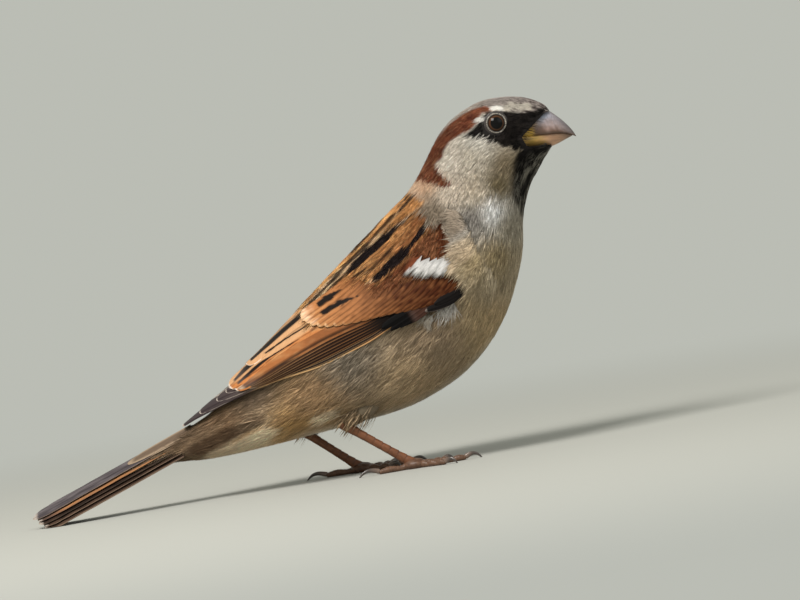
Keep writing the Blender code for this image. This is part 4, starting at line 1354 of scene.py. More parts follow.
def make_white_tuft(side, sign, rng):
    """White down that straggles out from under the wing's edge."""
    coat = Coat("coat_white_tuft_" + side)
    for _ in range(TUFTS):
        x = 15.0 - 13.0 * rng.random() ** 1.4
        z = 35.0 + 0.32 * (x - 4.0) + 1.2 * rng.random()
        length = 2.6 + 3.2 * rng.random() * (0.6 + 0.4 * (x > 9))
        tone = np.array(TUFT_WHITE if x > 8.5 else TUFT_GREY) * (0.8 + 0.4 * rng.random())
        way = (-0.8 + 1.0 * rng.random(), 0.0, -1.0)
        a, b = body_roots([(x, z)], sign)
        lay_fans(coat, BODY_SURFACE, a, b, lambda point, *_, way=way: np.tile(way, (len(point), 1)), length,
                 0.8, 11, 0.3, lambda point, *_, tone=tone: np.tile(tone, (len(point), 1)), rng, body_place,
                 **TUFT_FANS)
    coat.finish(DOWN, "plumage_grey")


# ---------------------------------------------------------------- eyes, bill, legs and claws


def across_of(ahead, hint=(0.0, 0.0, 1.0)):
    """Two directions square to each row of ahead, the first also square to hint."""
    out = unit(np.cross(ahead, hint))
    return out, unit(np.cross(out, ahead))


def tube_rings(points, radii, sides, flatten=1.0):
    """Rings of a tube along points, and the angles round it; flatten narrows it across the vertical."""
    out, up = across_of(np.gradient(points, axis=0))
    angle = np.arange(sides) / sides * 2 * math.pi
    ring = out[:, None] * (np.cos(angle) * flatten)[:, None] + up[:, None] * np.sin(angle)[:, None]
    return points[:, None] + ring * radii[:, None, None], angle


def ball_rings(centre, radii, axis, rows, cols):
    """Rings of an ellipsoid with its poles along axis."""
    axis = unit(np.asarray(axis, float))
    out, up = (v[0] for v in across_of(axis[None], (0.3, 1.0, 0.2)))
    t = np.linspace(0.02, math.pi - 0.02, rows)
    angle = np.arange(cols) / cols * 2 * math.pi
    ring = out * np.cos(angle)[:, None] * radii[0] + up * np.sin(angle)[:, None] * radii[1]
    ring = np.sin(t)[:, None, None] * ring[None]
    return np.asarray(centre) + ring - np.cos(t)[:, None, None] * axis * radii[2]


IRIS = (0.070, 0.031, 0.014)
IRIS_EDGE = (0.022, 0.013, 0.009)
PUPIL = (0.004, 0.004, 0.004)
LID_PALE = (0.50, 0.45, 0.38)
LID_DARK = (0.035, 0.028, 0.025)
PUPIL_SHARE = 0.71
LID_RINGS = ((0.06, 0.05, 0.15), (0.28, -0.10, 0.20), (0.55, -0.40, 0.30))  # out, forward, thickness
LID_BEADS = 34


def make_eye(side, sign):
    centre = EYES[side]
    axis = unit(np.array((0.10, sign, 0.03)))
    eye = Shape("eyeball_" + side)
    rings = ball_rings(centre, (EYEBALL, EYEBALL, EYEBALL * 0.99), axis, 72, 72)
    local = (rings - centre) / EYEBALL
    forward = local @ axis
    off = np.sqrt(np.clip(1 - forward**2, 0, 1)) * EYEBALL / EYE_OPENING
    rays = 0.5 + 0.5 * np.sin(np.arctan2(local[..., 2], local[..., 0]) * 38.0)
    tone = mix(IRIS, IRIS_EDGE, np.clip(step(0.78, 1.0, off) + 0.35 * rays, 0, 1))
    tone = mix(tone, PUPIL, step(PUPIL_SHARE + 0.03, PUPIL_SHARE - 0.02, off) * (forward > 0))
    eye.add(rings, tone)
    eye.finish(EYE_WET, "eye", ("eye_" + side,))

    # Lids: dark rings round the opening, and a pale ring of small swellings on them.
    lids = Shape("eyelids_" + side)
    opening = math.sqrt(EYEBALL**2 - EYE_OPENING**2)  # from the eyeball's centre
    out, up = (v[0] for v in across_of(axis[None]))

    def round_eye(angle):
        return out * np.cos(angle)[..., None] + up * np.sin(angle)[..., None]

    radial = round_eye(np.arange(96) / 96 * 2 * math.pi)
    turns = np.arange(12) / 12 * 2 * math.pi
    for beyond, ahead, thick in LID_RINGS:
        line = centre + axis * (opening + ahead) + radial * (EYE_OPENING + beyond)
        section = radial[:, None] * np.cos(turns)[:, None] + axis * np.sin(turns)[:, None]
        ring = line[:, None] + thick * section
        closed = np.concatenate([ring, ring[:1]])
        lids.add(closed, np.broadcast_to(LID_DARK, closed.shape))
    rng = np.random.default_rng(SEED + 7)
    for number in range(LID_BEADS):
        angle = np.array((number + 0.3 * rng.random()) / LID_BEADS * 2 * math.pi)
        gap = abs(math.sin(angle * 0.5 + 0.35))
        size = 0.12 + 0.035 * rng.random()
        radius = EYE_OPENING + 0.20 + 0.04 * rng.random()
        place = centre + axis * (opening + 0.14) + round_eye(angle) * radius
        rings = ball_rings(place, (size * 0.95, size * 1.15, size), axis, 7, 10)
        tone = np.array(LID_PALE) * (0.85 + 0.3 * rng.random()) * (0.75 + 0.25 * gap)
        lids.add(rings, np.broadcast_to(tone, rings.shape))
    lids.finish(LID, "leg_skin")


BLUE_HORN_AND_SKY_REFLECTION = (0.215, 0.260, 0.345)
PINK_HORN = (0.255, 0.185, 0.170)
TIP_HORN = (0.075, 0.054, 0.050)
EDGE_HORN = (0.150, 0.078, 0.052)
RIDGE_HORN = (0.105, 0.072, 0.062)
LOWER_HORN = (0.52, 0.285, 0.165)
YELLOW_HORN = (0.74, 0.46, 0.13)
GAPE = (0.56, 0.33, 0.040)
SEAM_SHADOW = (0.085, 0.042, 0.022)
LOWER_SHADE = (0.26, 0.15, 0.085)
NOSTRIL_SHADOW = (0.03, 0.028, 0.03)
NOSTRIL = (42.6, 79.3)
NOSTRIL_SIZE = (0.9, 0.42)
BILL_BASE_X = 36.8
BILL_ROWS, BILL_COLS = 110, 28


def mandible_rings(last, top, bottom, width, domed_up):
    """Half-round sections from the bill's base to x = last, with the flat side on the tomium."""
    x = BILL_BASE_X + (last - BILL_BASE_X) * (1 - (1 - np.linspace(0.0, 1.0, BILL_ROWS)) ** 1.5)
    high, low, half = (smooth(table, x) for table in (top, bottom, width))
    half = np.maximum(half, 0.05)
    flat, crown = (low, high) if domed_up else (high, low)
    if domed_up:
        flat = flat - 0.05
    else:
        flat = flat - 0.02
        half = half * 0.97
    angle = np.linspace(0.0, math.pi, BILL_COLS)
    # A power below 1 fills the section out on both sides of its ridge.
    rise = np.clip(np.sin(angle), 0, 1)[None] ** (0.86 if domed_up else 0.95)
    y = half[:, None] * np.cos(angle)[None]
    z = flat[:, None] + (crown - flat)[:, None] * rise
    x = np.broadcast_to(x[:, None], y.shape)
    outer = np.stack([x, y, z], axis=-1)
    inner_y = np.linspace(-1, 1, BILL_COLS)[None] * (half * 0.93)[:, None]
    hollow = (0.10 if domed_up else -0.10) * (crown > flat)
    inner_z = np.broadcast_to((flat + hollow)[:, None], inner_y.shape)
    inner = np.stack([x, inner_y, inner_z], axis=-1)
    return np.concatenate([outer, inner[:, 1:-1]], axis=1)


def make_bill():
    upper = Shape("mandible_upper")
    rings = mandible_rings(BILL_TIP_X, CULMEN, TOMIUM, UPPER_WIDTH, True)
    x, y, z = np.moveaxis(rings, -1, 0)
    edge = smooth(TOMIUM, x)
    share = np.clip((z - edge) / np.maximum(smooth(CULMEN, x) - edge, 0.1), 0, 1)
    grain = noise(x * 0.35, z * 3.2 + y, 31, 0.7) - 0.5
    # The upper mandible's top is bluish grey horn with a painted sky reflection, strongest near the base.
    blue_and_reflection = step(0.35, 0.85, share + 0.25 * grain) * (0.35 + 0.65 * step(46.5, 42.0, x))
    tone = mix(PINK_HORN, BLUE_HORN_AND_SKY_REFLECTION, blue_and_reflection)
    tone = mix(tone, RIDGE_HORN, 0.7 * step(0.90, 0.985, share) * step(41.0, 44.0, x))
    tone = mix(tone, EDGE_HORN, step(0.42, 0.12, share + 0.25 * grain))
    tone = mix(tone, TIP_HORN, step(45.6, 50.0, x + 1.5 * grain) * 0.85)
    gape = step(41.6, 39.6, x - 1.5 * grain) * step(78.6, 76.8, z)
    tone = mix(tone, GAPE, gape)
    # Painted shadow along the seam where the mandibles meet.
    tone = mix(tone, SEAM_SHADOW, step(0.48, 0.14, z - edge) * step(39.6, 41.0, x) * 0.9)
    # The nostril's opening is a dark oval of painted shade.
    nostril = np.hypot((x - NOSTRIL[0]) / NOSTRIL_SIZE[0], (z - NOSTRIL[1]) / NOSTRIL_SIZE[1])
    tone = mix(tone, NOSTRIL_SHADOW, step(1.2, 0.7, nostril))
    lines = noise(x * 0.22, z * 8.0 + y, 33, 0.6) - 0.5
    tone = tone * (1 + 0.50 * grain + 0.45 * lines)[..., None]
    upper.add(rings, tone)
    upper.finish(HORN, "bill_horn", ("bill_upper",))

    lower = Shape("mandible_lower")
    rings = mandible_rings(GONYS[-1][0], TOMIUM, GONYS, LOWER_WIDTH, False)
    x, y, z = np.moveaxis(rings, -1, 0)
    edge = smooth(TOMIUM, x)
    grain = noise(x * 0.6, z * 2.0 + y, 32, 0.7) - 0.5
    tone = mix(YELLOW_HORN, LOWER_HORN, step(40.5, 44.5, x + 1.5 * grain))
    tone = mix(tone, TIP_HORN, step(45.6, 49.6, x) * 0.8)
    tone = mix(tone, LOWER_SHADE, step(74.6, 73.2, z) * 0.35 * step(43.0, 46.0, x))
    # Painted shadow just under the seam where the mandibles meet.
    tone = mix(tone, SEAM_SHADOW, step(0.22, 0.02, edge - z) * step(39.6, 41.0, x) * 0.6)
    lines = noise(x * 0.22, z * 8.0 + y, 34, 0.6) - 0.5
    tone = tone * (1 + 0.36 * grain + 0.30 * lines)[..., None]
    lower.add(rings, tone)
    lower.finish(HORN, "bill_horn", ("bill_lower",))


SHANK = (0.135, 0.052, 0.023)
GROOVE_SHADE = (0.055, 0.024, 0.015)
TOE_TONE = (0.115, 0.062, 0.038)
CLAW_TONE = (0.055, 0.042, 0.036)
CLAW_BASE = (0.15, 0.10, 0.075)
SHANK_GIRTH = ((0, 1.22), (0.08, 1.15), (0.2, 0.98), (0.4, 0.90), (0.6, 0.90), (0.8, 0.96), (0.93, 1.12),
               (1.0, 1.22))  # over the share of the way from ankle to foot
PAD_OFFSET = (0.4, 0.0, 0.95)  # from the point on the floor under the foot
CLAW_BULGE = 1.15


def scaled_tube(points, share, radii, sides, flatten, scales, depth):
    """A tube's rings with overlapping scales along it, the share of painted shade in their grooves, and the
    angles round it. The scales are strongest on its upper side."""
    rings, angle = tube_rings(points, radii, sides, flatten)
    phase = ((share.clip(0, 1) * scales) % 1.0)[:, None]
    groove = step(0.16, 0.0, phase) + step(0.93, 1.0, phase)
    front = (0.35 + 0.65 * np.clip(np.sin(angle), 0, 1))[None]
    relief = 1 + depth * (phase**0.7 - 0.5) * front - 0.5 * depth * groove * front
    rings = points[:, None] + (rings - points[:, None]) * relief[..., None]
    return rings, np.clip(groove * front, 0, 1), angle


def above_floor(rings):
    """Flattened where it would go below the floor."""
    out = rings.copy()
    out[..., 2] = np.maximum(out[..., 2], 0.0)
    return out


def add_toe(leg, foot, ahead, turn, length, knuckles):
    share = np.linspace(0.0, 1.0, 26 * (knuckles + 1))
    radius = TOE_RADII[0] + (TOE_RADII[1] - TOE_RADII[0]) * share
    radius = radius * (1 + 0.13 * np.cos(2 * math.pi * share * (knuckles + 0.5)))
    along = TOE_START * 0.4 + (length - TOE_START * 0.4) * share
    points = foot + ahead * along[:, None]
    points[:, 2] += radius * 0.94
    ends = radius * np.sqrt(np.clip(1 - np.clip((share - 0.955) / 0.05, 0, 1) ** 2, 0.05, 1))
    rings, groove, angle = scaled_tube(points, share, ends, 20, 1.0, 4 * (knuckles + 1) + 1, 0.09)
    grain = noise(share[:, None] * 14 + turn, angle[None] * 1.7, 42, 1.0)
    # Painted shade in the grooves between the toe's scales.
    leg.add(above_floor(rings), mix(TOE_TONE, GROOVE_SHADE, groove) * (0.78 + 0.44 * grain)[..., None])


def add_claw(claws, foot, ahead, length, claw):
    share = np.linspace(0.0, 1.0, 30)
    radius = CLAW_RADIUS * (1 - share) ** 0.7 + 0.035
    along = length - 0.15 + 0.83 * claw * np.sin(CLAW_ARC * share) / math.sin(CLAW_ARC)
    points = foot + ahead * along[:, None]
    points[:, 2] += 0.75 + 0.68 * np.sin(math.pi * np.minimum(1.0, share * CLAW_BULGE)) - 0.72 * share**2
    rings, _ = tube_rings(points, radius, 16, 0.72)
    tone = mix(CLAW_BASE, CLAW_TONE, step(0.0, 0.45, share))[:, None]
    claws.add(above_floor(rings), np.broadcast_to(tone, rings.shape))


def make_leg(side, sign):
    ankle, foot = (on_side(table, side, sign) for table in (ANKLE, FOOT))
    leg = Shape("leg_" + side)
    share = np.linspace(-0.02, 1.0, 130)
    girth = TARSUS_RADIUS * straight(SHANK_GIRTH, share)
    shank = ankle + (foot - ankle) * share[:, None]
    rings, groove, angle = scaled_tube(shank, share, girth, 24, 0.86, 9, 0.10)
    grain = noise(share[:, None] * 18, angle[None] * 2, 41, 1.0)
    # Painted shade in the grooves between the shank's scales.
    leg.add(rings, mix(SHANK, GROOVE_SHADE, groove * 0.9) * (0.8 + 0.4 * grain)[..., None])

    # The foot's pad, swollen underneath and flat on the floor.
    floor_point = foot * (1, 1, 0)
    centre = floor_point + PAD_OFFSET
    pad = ball_rings(centre, PAD, (0.0, 0.0, 1.0), 26, 36)
    bumps = noise(pad[..., 0] + 50, pad[..., 1] + pad[..., 2], 43, 0.55)
    pad = centre + (pad - centre) * (0.94 + 0.07 * bumps)[..., None]
    # Painted shade in the hollows between the pad's swellings.
    leg.add(above_floor(pad), mix(GROOVE_SHADE, TOE_TONE, np.clip(bumps * 1.3, 0, 1)))

    claws = Shape("claws_" + side)
    for turn, length, knuckles, claw in TOES.values():
        turned = math.radians(turn) * sign
        ahead = np.array((math.cos(turned), math.sin(turned), 0.0))
        add_toe(leg, floor_point, ahead, turn, length, knuckles)
        add_claw(claws, floor_point, ahead, length, claw)
    leg.finish(SCUTES, "leg_skin", ("tarsus_" + side, "foot_" + side, *(f"{n}_{side}" for n in TOES)))
    claws.finish(CLAW, "claw_horn", tuple(f"claw_{n}_{side}" for n in TOES))


BRISTLES = 44
BRISTLE_TONE = (0.018, 0.015, 0.014)
BRISTLE_WIDTHS = (0.10, 0.075)
LORES_FRONT = ((72.0, 37.6), (75.0, 37.6), (79.5, 41.4))  # x over height


def make_bristles(side, sign):
    """Stiff dark bristles that reach forward from the lores over the gape."""
    coat = Coat("coat_bristles_" + side)
    rng = np.random.default_rng(SEED + 60 + (sign > 0))
    z = 73.4 + 5.8 * rng.random(BRISTLES)
    x = straight(LORES_FRONT, z) - 0.6 - 0.8 * rng.random(BRISTLES)
    a, b = body_roots(zip(x, z), sign)
    start, normal, _, _ = BODY_SURFACE.at(a, b)
    ahead = np.tile((1.0, -0.10 * sign, -0.55), (BRISTLES, 1))
    ahead[:, 2] += 0.6 * rng.random(BRISTLES)
    ahead = unit(ahead)
    length = (2.2 + 2.0 * rng.random(BRISTLES))[:, None]
    curl = np.outer(0.35 * rng.random(BRISTLES), (0.0, 0.0, -1.0))
    lifted = start + normal * (0.25 + 0.2 * rng.random(BRISTLES))[:, None]
    widths, tones = np.tile(BRISTLE_WIDTHS, (BRISTLES, 1)), np.tile(BRISTLE_TONE, (BRISTLES, 3, 1))
    coat.add_strands(start - normal * 0.2, lifted + ahead * 0.5 * length, lifted + ahead * length + curl,
                     normal, widths, tones, body_place(a, b))
    coat.finish(DOWN, "plumage_grey")


# ---------------------------------------------------------------- stiff feathers: wing and tail


def barbed_material(name):
    """Vaned feathers: the mesh's tone, with barbs that slant from the shaft to the tip."""
    made = node_material(name, 0.52, 900.0, tint=0.06, specular=0.05)
    vane = add_node(made, "UVMap", {})
    vane.uv_map = "vane"
    parts = add_node(made, "SeparateXYZ", {"Vector": vane.outputs["UV"]})
    out = add_node(made, "Math", {0: parts.outputs["X"]}, "ABSOLUTE")
    slant = add_node(made, "Math", {0: out.outputs["Value"], 1: -1.6, 2: parts.outputs["Y"]},
                     "MULTIPLY_ADD")
    joined = add_node(made, "CombineXYZ", {"X": slant.outputs["Value"], "Y": out.outputs["Value"]})
    stretched = add_node(made, "Mapping", {"Vector": joined.outputs["Vector"], "Scale": (5.5, 0.3, 1.0)})
    barbs = add_node(made, "TexNoise", {"Vector": stretched.outputs["Vector"], "Scale": 1.0, "Detail": 2.0,
                                        "Roughness": 0.6})
    level = add_node(made, "MapRange", {"Value": barbs.outputs["Fac"], "From Min": 0.30, "From Max": 0.70,
                                        "To Min": 0.88, "To Max": 1.10})
    bump = add_node(made, "Bump", {"Strength": 0.35, "Distance": 0.06 * MM, "Height": barbs.outputs["Fac"]})
    shader = made.node_tree.nodes["Principled BSDF"]
    plain = shader.inputs["Base Color"].links[0].from_socket
    lined = add_node(made, "VectorMath", {0: plain, "Scale": level.outputs["Result"]}, "SCALE")
    set_inputs(made, shader, {"Base Color": lined.outputs["Vector"], "Normal": bump.outputs["Normal"]})
    return made


BARBED = barbed_material("vane barbs")
VANE_ROWS, VANE_COLS = 56, 17
VANE_THICK = 0.11


class Vanes:
    """Collects thin solid vanes into one mesh piece, each with its own part of the baking map."""

    def __init__(self, name, slots):
        self.name, self.slots = name, slots
        self.verts, self.faces, self.tones, self.lines, self.maps, self.count = [], [], [], [], [], 0

    def add(self, top, normal, tone, along, across, thick=VANE_THICK):
        """top (rows, cols, 3) is the upper face; along and across are millimetres on the vane."""
        rows, cols = top.shape[:2]
        edge = np.minimum(np.linspace(0, 1, cols), np.linspace(1, 0, cols)) * 2
        depth = thick * (0.25 + 0.75 * step(0.0, 0.5, edge))[None, :, None]
        verts = np.concatenate([top.reshape(-1, 3), (top - normal * depth).reshape(-1, 3)])
        n = rows * cols
        grid = np.arange(n).reshape(rows, cols)
        upper = np.stack([grid[:-1, :-1], grid[:-1, 1:], grid[1:, 1:], grid[1:, :-1]], axis=-1)
        upper = upper.reshape(-1, 4)
        border = np.concatenate([grid[0], grid[1:, -1], grid[-1, -2::-1], grid[-2:0:-1, 0]])
        after = np.roll(border, -1)
        sides = np.stack([border, border + n, after + n, after], axis=-1)
        quads = np.concatenate([upper, upper[:, ::-1] + n, sides])
        a, b, c = (verts[upper[:, k]] for k in range(3))
        if np.sum(np.cross(b - a, c - a) * normal[:-1, :-1].reshape(-1, 3)) < 0:
            quads = quads[:, ::-1]
        number = len(self.maps)
        column, row = number % self.slots[0], number // self.slots[0]
        u, v = np.meshgrid(np.linspace(0, 1, cols), np.linspace(0, 1, rows))
        u = (column + 0.04 + 0.92 * u) / self.slots[0]
        v = (row + 0.04 + 0.44 * v) / self.slots[1]
        upper_map = np.stack([u, v], axis=-1).reshape(-1, 2)
        self.maps.append(np.concatenate([upper_map, upper_map + (0.0, 0.5 / self.slots[1])]))
        # Each vane has its own stretch of the barbs' pattern.
        line = np.stack([across, along + 3.1 * number], axis=-1).reshape(-1, 2)
        self.lines.append(np.concatenate([line, line]))
        self.verts.append(verts)
        self.tones.append(np.concatenate([tone.reshape(-1, 3), tone.reshape(-1, 3) * 0.55 + 0.03]))
        self.faces.append(quads + self.count)
        self.count += 2 * n

    def finish(self, slot, replaced):
        faces = np.concatenate(self.faces)
        piece = mesh_piece(self.name, np.concatenate(self.verts), faces, np.concatenate(self.tones),
                           np.concatenate(self.maps), BARBED, replaced)
        lines = piece.data.uv_layers.new(name="vane")
        lines.data.foreach_set("uv", np.concatenate(self.lines).astype(np.float32)[faces.ravel()].ravel())


def rounded(t, blunt, power=2.0):
    """A vane's width over its share t: whole up to blunt, and drawn in from there to the tip."""
    return np.sqrt(np.clip(1 - np.clip((t - blunt) / (1 - blunt), 0, 1) ** power, 0.0, 1))


def parted(depth, pattern, w, seed, rise):
    """A vane's width where its barbs have parted here and there, each side of the shaft for itself."""
    return 1 - depth * noise(pattern, np.sign(w) * 3.0, seed, 1.0) * rise


def lay_vane(vanes, side, line, upper, lower, layer, paint, seed, blunt, root_sink, droop=0.10, trim=0.0,
             rows=VANE_ROWS, cols=VANE_COLS):
    """One stiff feather on a wing, numbered by its place among the vanes. line is its shaft in the
    wing's frame; upper and lower are its half widths; layer is its height over the arch; blunt is
    where it starts to draw in; root_sink and droop lower its root and its sides; trim slants its tip;
    paint(number, t, w, s, h) gives its colour."""
    number = len(vanes.maps)
    t = 1 - (1 - np.linspace(0.0, 1.0, rows)) ** 1.6  # rows crowd towards the tip
    shaft = curve(line, t)
    ahead = unit(np.gradient(shaft, t, axis=0))
    over = np.stack([-ahead[:, 1], ahead[:, 0]], axis=-1)
    over = over * np.sign(over[:, 1:2] + 1e-9)
    tt, ww = np.meshgrid(t, np.linspace(-1.0, 1.0, cols), indexing="ij")
    root = step(-0.02, 0.16, tt) * 0.75 + 0.25
    tip = rounded(tt, np.where(ww > 0, blunt, blunt - trim), 2.2)
    gaps = parted(0.10, tt * 26 + seed + number, ww, seed + number, step(0.3, 0.9, tt))
    off = ww * np.where(ww > 0, upper, lower) * root * tip * gaps
    s = shaft[:, None, 0] + over[:, None, 0] * off
    h = shaft[:, None, 1] + over[:, None, 1] * off
    point, normal, _, _ = WING_SURFACES[side].at(s, arch_q(s, h))
    rachis = 0.07 * np.exp(-((off / 0.22) ** 2)) * (1 - 0.6 * tt)
    height = layer - root_sink * (1 - tt) ** 1.5 - droop * ww**2 + rachis
    tone = paint(number, tt, ww, s, h)
    tone = mix(tone, tone * SHAFT_SHADE, 0.7 * np.exp(-((off / 0.16) ** 2)))
    length = float(np.sum(np.linalg.norm(np.diff(shaft, axis=0), axis=1)))
    vanes.add(point + normal * height[..., None], normal, tone, tt * length, off)


def rim(t, w, lower, upper, tip, soft=0.02):
    """1 on a vane's edge: on its lower side, its upper side and round its tip."""
    low = step(lower - 0.06, lower + 0.06, -w)
    high = step(upper - 0.04, upper + 0.04, w)
    end = step(tip - soft, tip + 0.5 * soft, t)
    return np.maximum(np.maximum(low, high), end)


SHAFT_SHADE = (0.35, 0.33, 0.33)
RUFOUS = (0.42, 0.155, 0.048)
COVERT_RUFOUS = (0.36, 0.145, 0.052)
RUFOUS_PALE = (0.58, 0.30, 0.125)
RUFOUS_DARK = (0.075, 0.022, 0.009)
WING_BLACK = (0.010, 0.007, 0.006)
COVERT_BLACK = (0.004, 0.0035, 0.0035)
PRIMARY_TIP = (0.042, 0.031, 0.032)
QUILL_BROWN = (0.095, 0.070, 0.062)
PALE_RIM = (0.66, 0.50, 0.36)
COVERT_TIP = (0.78, 0.52, 0.34)
COVERT_FRONT_SHADE = (0.050, 0.013, 0.004)
COVERT_RIM = (0.15, 0.052, 0.018)
COVERT_RIM_REAR = (0.60, 0.37, 0.20)
WHITE_RIM = (0.74, 0.64, 0.55)
EDGE_BUFF = (0.62, 0.38, 0.18)
BAND_BUFF = (0.50, 0.285, 0.145)
HAND_BROWN = (0.0466, 0.0146, 0.0068)
ALULA_BLACK = (0.0088, 0.0070, 0.0066)
ALULA_RIM = (0.17, 0.14, 0.12)

# All of a wing's lines are in its own frame. The tips of the stacked primaries, from the longest:
PRIMARY_TIPS = ((79.8, 0.05), (74.6, 0.65), (69.4, 1.2), (66.4, 1.8), (65.2, 2.3))
# How dark each secondary is, and how clear its rufous edge; the last is dark below a line only.
SECONDARY_DARK = (1.0, 1.0, 0.95, 0.85, 0.55, 0.40)
SECONDARY_EDGE = (0.85, 0.45, 0.75, 0.4, 0.75, 0.5)
SECONDARY_TOP = ((33.0, -0.9), (42.0, 0.1), (51.0, 0.9), (60.0, 0.5))
# Black stripes that run along the tertials: place along the wing, height on it, half width.
RIDGE_STRIPE = ((37.0, 9.5, 0.35), (41.9, 8.3, 0.52), (46.7, 7.3, 0.52), (51.2, 6.2, 0.45),
                (57.0, 4.8, 0.25))
THIN_STRIPE = ((39.0, 6.0, 0.20), (43.7, 5.7, 0.17), (47.7, 5.4, 0.17), (53.0, 4.7, 0.19))
MIDDLE_STRIPE = ((51.0, 4.9, 0.15), (54.5, 4.5, 0.34), (57.0, 4.2, 0.48), (59.6, 3.7, 0.52),
                 (62.9, 2.7, 0.25))
LOW_STRIPE = ((46.0, 4.0, 0.10), (52.5, 3.5, 0.18), (54.9, 3.3, 0.32), (57.5, 2.8, 0.40), (62.4, 1.7, 0.25))
MIDDLE_BLACK = (THIN_STRIPE, MIDDLE_STRIPE, LOW_STRIPE)
# Below this line the tertials are chestnut, above it buff.
TERTIAL_BUFF = ((38.0, 4.9), (41.5, 4.5), (46.7, 4.0), (51.1, 3.5), (57.9, 2.8), (62.8, 2.0))
# From the lowest tertial up: shaft, upper and lower half width, black stripes.
TERTIALS = (
    (((29.0, 4.0), (42.0, 4.2), (55.0, 2.6), (63.9, 1.0)), 2.3, 2.3, (LOW_STRIPE,)),
    (((31.0, 6.6), (42.0, 6.3), (54.0, 4.4), (64.9, 1.9)), 1.9, 2.3, MIDDLE_BLACK),
    (((33.0, 9.6), (42.0, 8.9), (51.0, 7.1), (58.9, 5.0)), 1.9, 2.35, (RIDGE_STRIPE, THIN_STRIPE)),
)
# Root, tip, upper and lower half width.
PRIMARY_COVERTS = (
    ((8.0, -3.9), (21.6, -5.9), 1.0, 0.7),
    ((9.0, -3.2), (23.9, -5.0), 1.1, 0.8),
    ((11.0, -2.6), (25.5, -3.6), 1.3, 0.9),
)
ALULA = (
    (((0.6, -4.7), (7.0, -6.3), (14.4, -5.2)), 1.2, 0.8),
    (((0.8, -3.6), (6.0, -5.0), (11.6, -4.8)), 1.1, 0.9),
)
GREATER_COVERTS = 21
# The line of the greater coverts' tips, from the foremost back.
GREATER_TIPS = ((6.5, -4.7), (9.6, -4.5), (12.8, -4.3), (16.2, -3.5), (19.6, -2.4), (23.0, -1.2),
                (26.6, -0.2), (30.4, 0.9), (34.2, 2.1), (37.8, 3.6), (40.2, 5.4), (41.3, 7.1))
# Black streaks of the innermost greater coverts: line, half width.
COVERT_STREAKS = ((((29.6, 9.1), (35.6, 8.5)), 0.75), (((26.6, 5.9), (31.4, 6.5), (35.8, 6.3)), 0.60))


def primary_paint(number, t, w, s, _):
    colour = mix(QUILL_BROWN, PRIMARY_TIP, step(55, 70, s))
    colour = mix(colour, WING_BLACK, 0.8 * step(60.0, 48.0, s))
    edge = step(0.62, 0.76, -w) if number == 0 else step(0.88, 0.95, -w)
    edge = edge * step(64.0, 55.0, s)
    colour = mix(colour, mix(RUFOUS_PALE, EDGE_BUFF, step(26, 40, s)), 0.9 * edge)
    outline = rim(t, w, 0.91, 0.93, 0.995, 0.004) * step(-8.5, -6.0, s - PRIMARY_TIPS[number][0])
    return mix(colour, WHITE_RIM, 0.8 * outline * step(56.0, 62.0, s))


def make_primaries(side):
    vanes = Vanes("primaries_vanes_" + side, (4, 2))
    for number, tip in enumerate(PRIMARY_TIPS):
        low = -4.6 + 0.62 * number
        line = ((21.5, low + 0.6), (40.0, low + 1.1), (58.0, -0.6 + 0.36 * number), tip)
        lay_vane(vanes, side, line, 2.2, 1.25, -0.62 + 0.11 * number, primary_paint, 0, 0.82, 0.1)
    vanes.finish("flight_feather", ("primaries_" + side,))


def secondary_paint(number, t, w, s, h):
    grain = noise(s * 0.6, w * 3 + number * 5, 51, 1.0) - 0.5
    colour = mix(RUFOUS, RUFOUS_PALE, np.clip(0.1 + 1.1 * grain, 0, 1))
    dark = SECONDARY_DARK[number] * step(66.0, 50.0, s - 1.5 * number)
    colour = mix(colour, RUFOUS_DARK, np.maximum(dark, 0.6 * step(54.0, 40.0, s)))
    low = 1.0 if number < 5 else step(0.15, -0.30, h - straight(SECONDARY_TOP, s))
    colour = mix(colour, WING_BLACK, 0.85 * low)
    shaft = step(0.35, 0.10, np.abs(w + 0.35)) * step(0.95, 0.7, t)
    colour = mix(colour, WING_BLACK, np.maximum(0.8 * shaft, step(44.0, 28.0, s + 1.5 * number) * 0.95))
    colour = mix(colour, QUILL_BROWN, 0.6 * step(56.0, 61.0, s))
    line = step(0.84, 0.94, -w) * step(24.0, 32.0, s) * (1 - 0.45 * step(40.0, 54.0, s))
    pale = mix(RUFOUS, EDGE_BUFF, 0.15 + 0.6 * step(32.0, 52.0, s))
    colour = mix(colour, pale, line * SECONDARY_EDGE[number])
    return mix(colour, PALE_RIM, 0.55 * rim(t, w, 1.2, 1.2, 0.97))


def make_secondaries(side):
    vanes = Vanes("secondaries_vanes_" + side, (4, 2))
    last = len(SECONDARY_DARK) - 1
    for number in range(last + 1):
        share = number / last
        root = (19.0 + 3.0 * share, -2.6 + 2.6 * share)
        middle = (41.0, -2.0 + 3.4 * share)
        tip = (60.6 + 2.6 * share, -0.35 + 1.0 * share)
        lay_vane(vanes, side, (root, middle, tip), 1.9, 1.15, -0.28 + 0.09 * number, secondary_paint, 20,
                 0.82, 0.15)
    vanes.finish("plumage_brown", ("secondaries_" + side,))


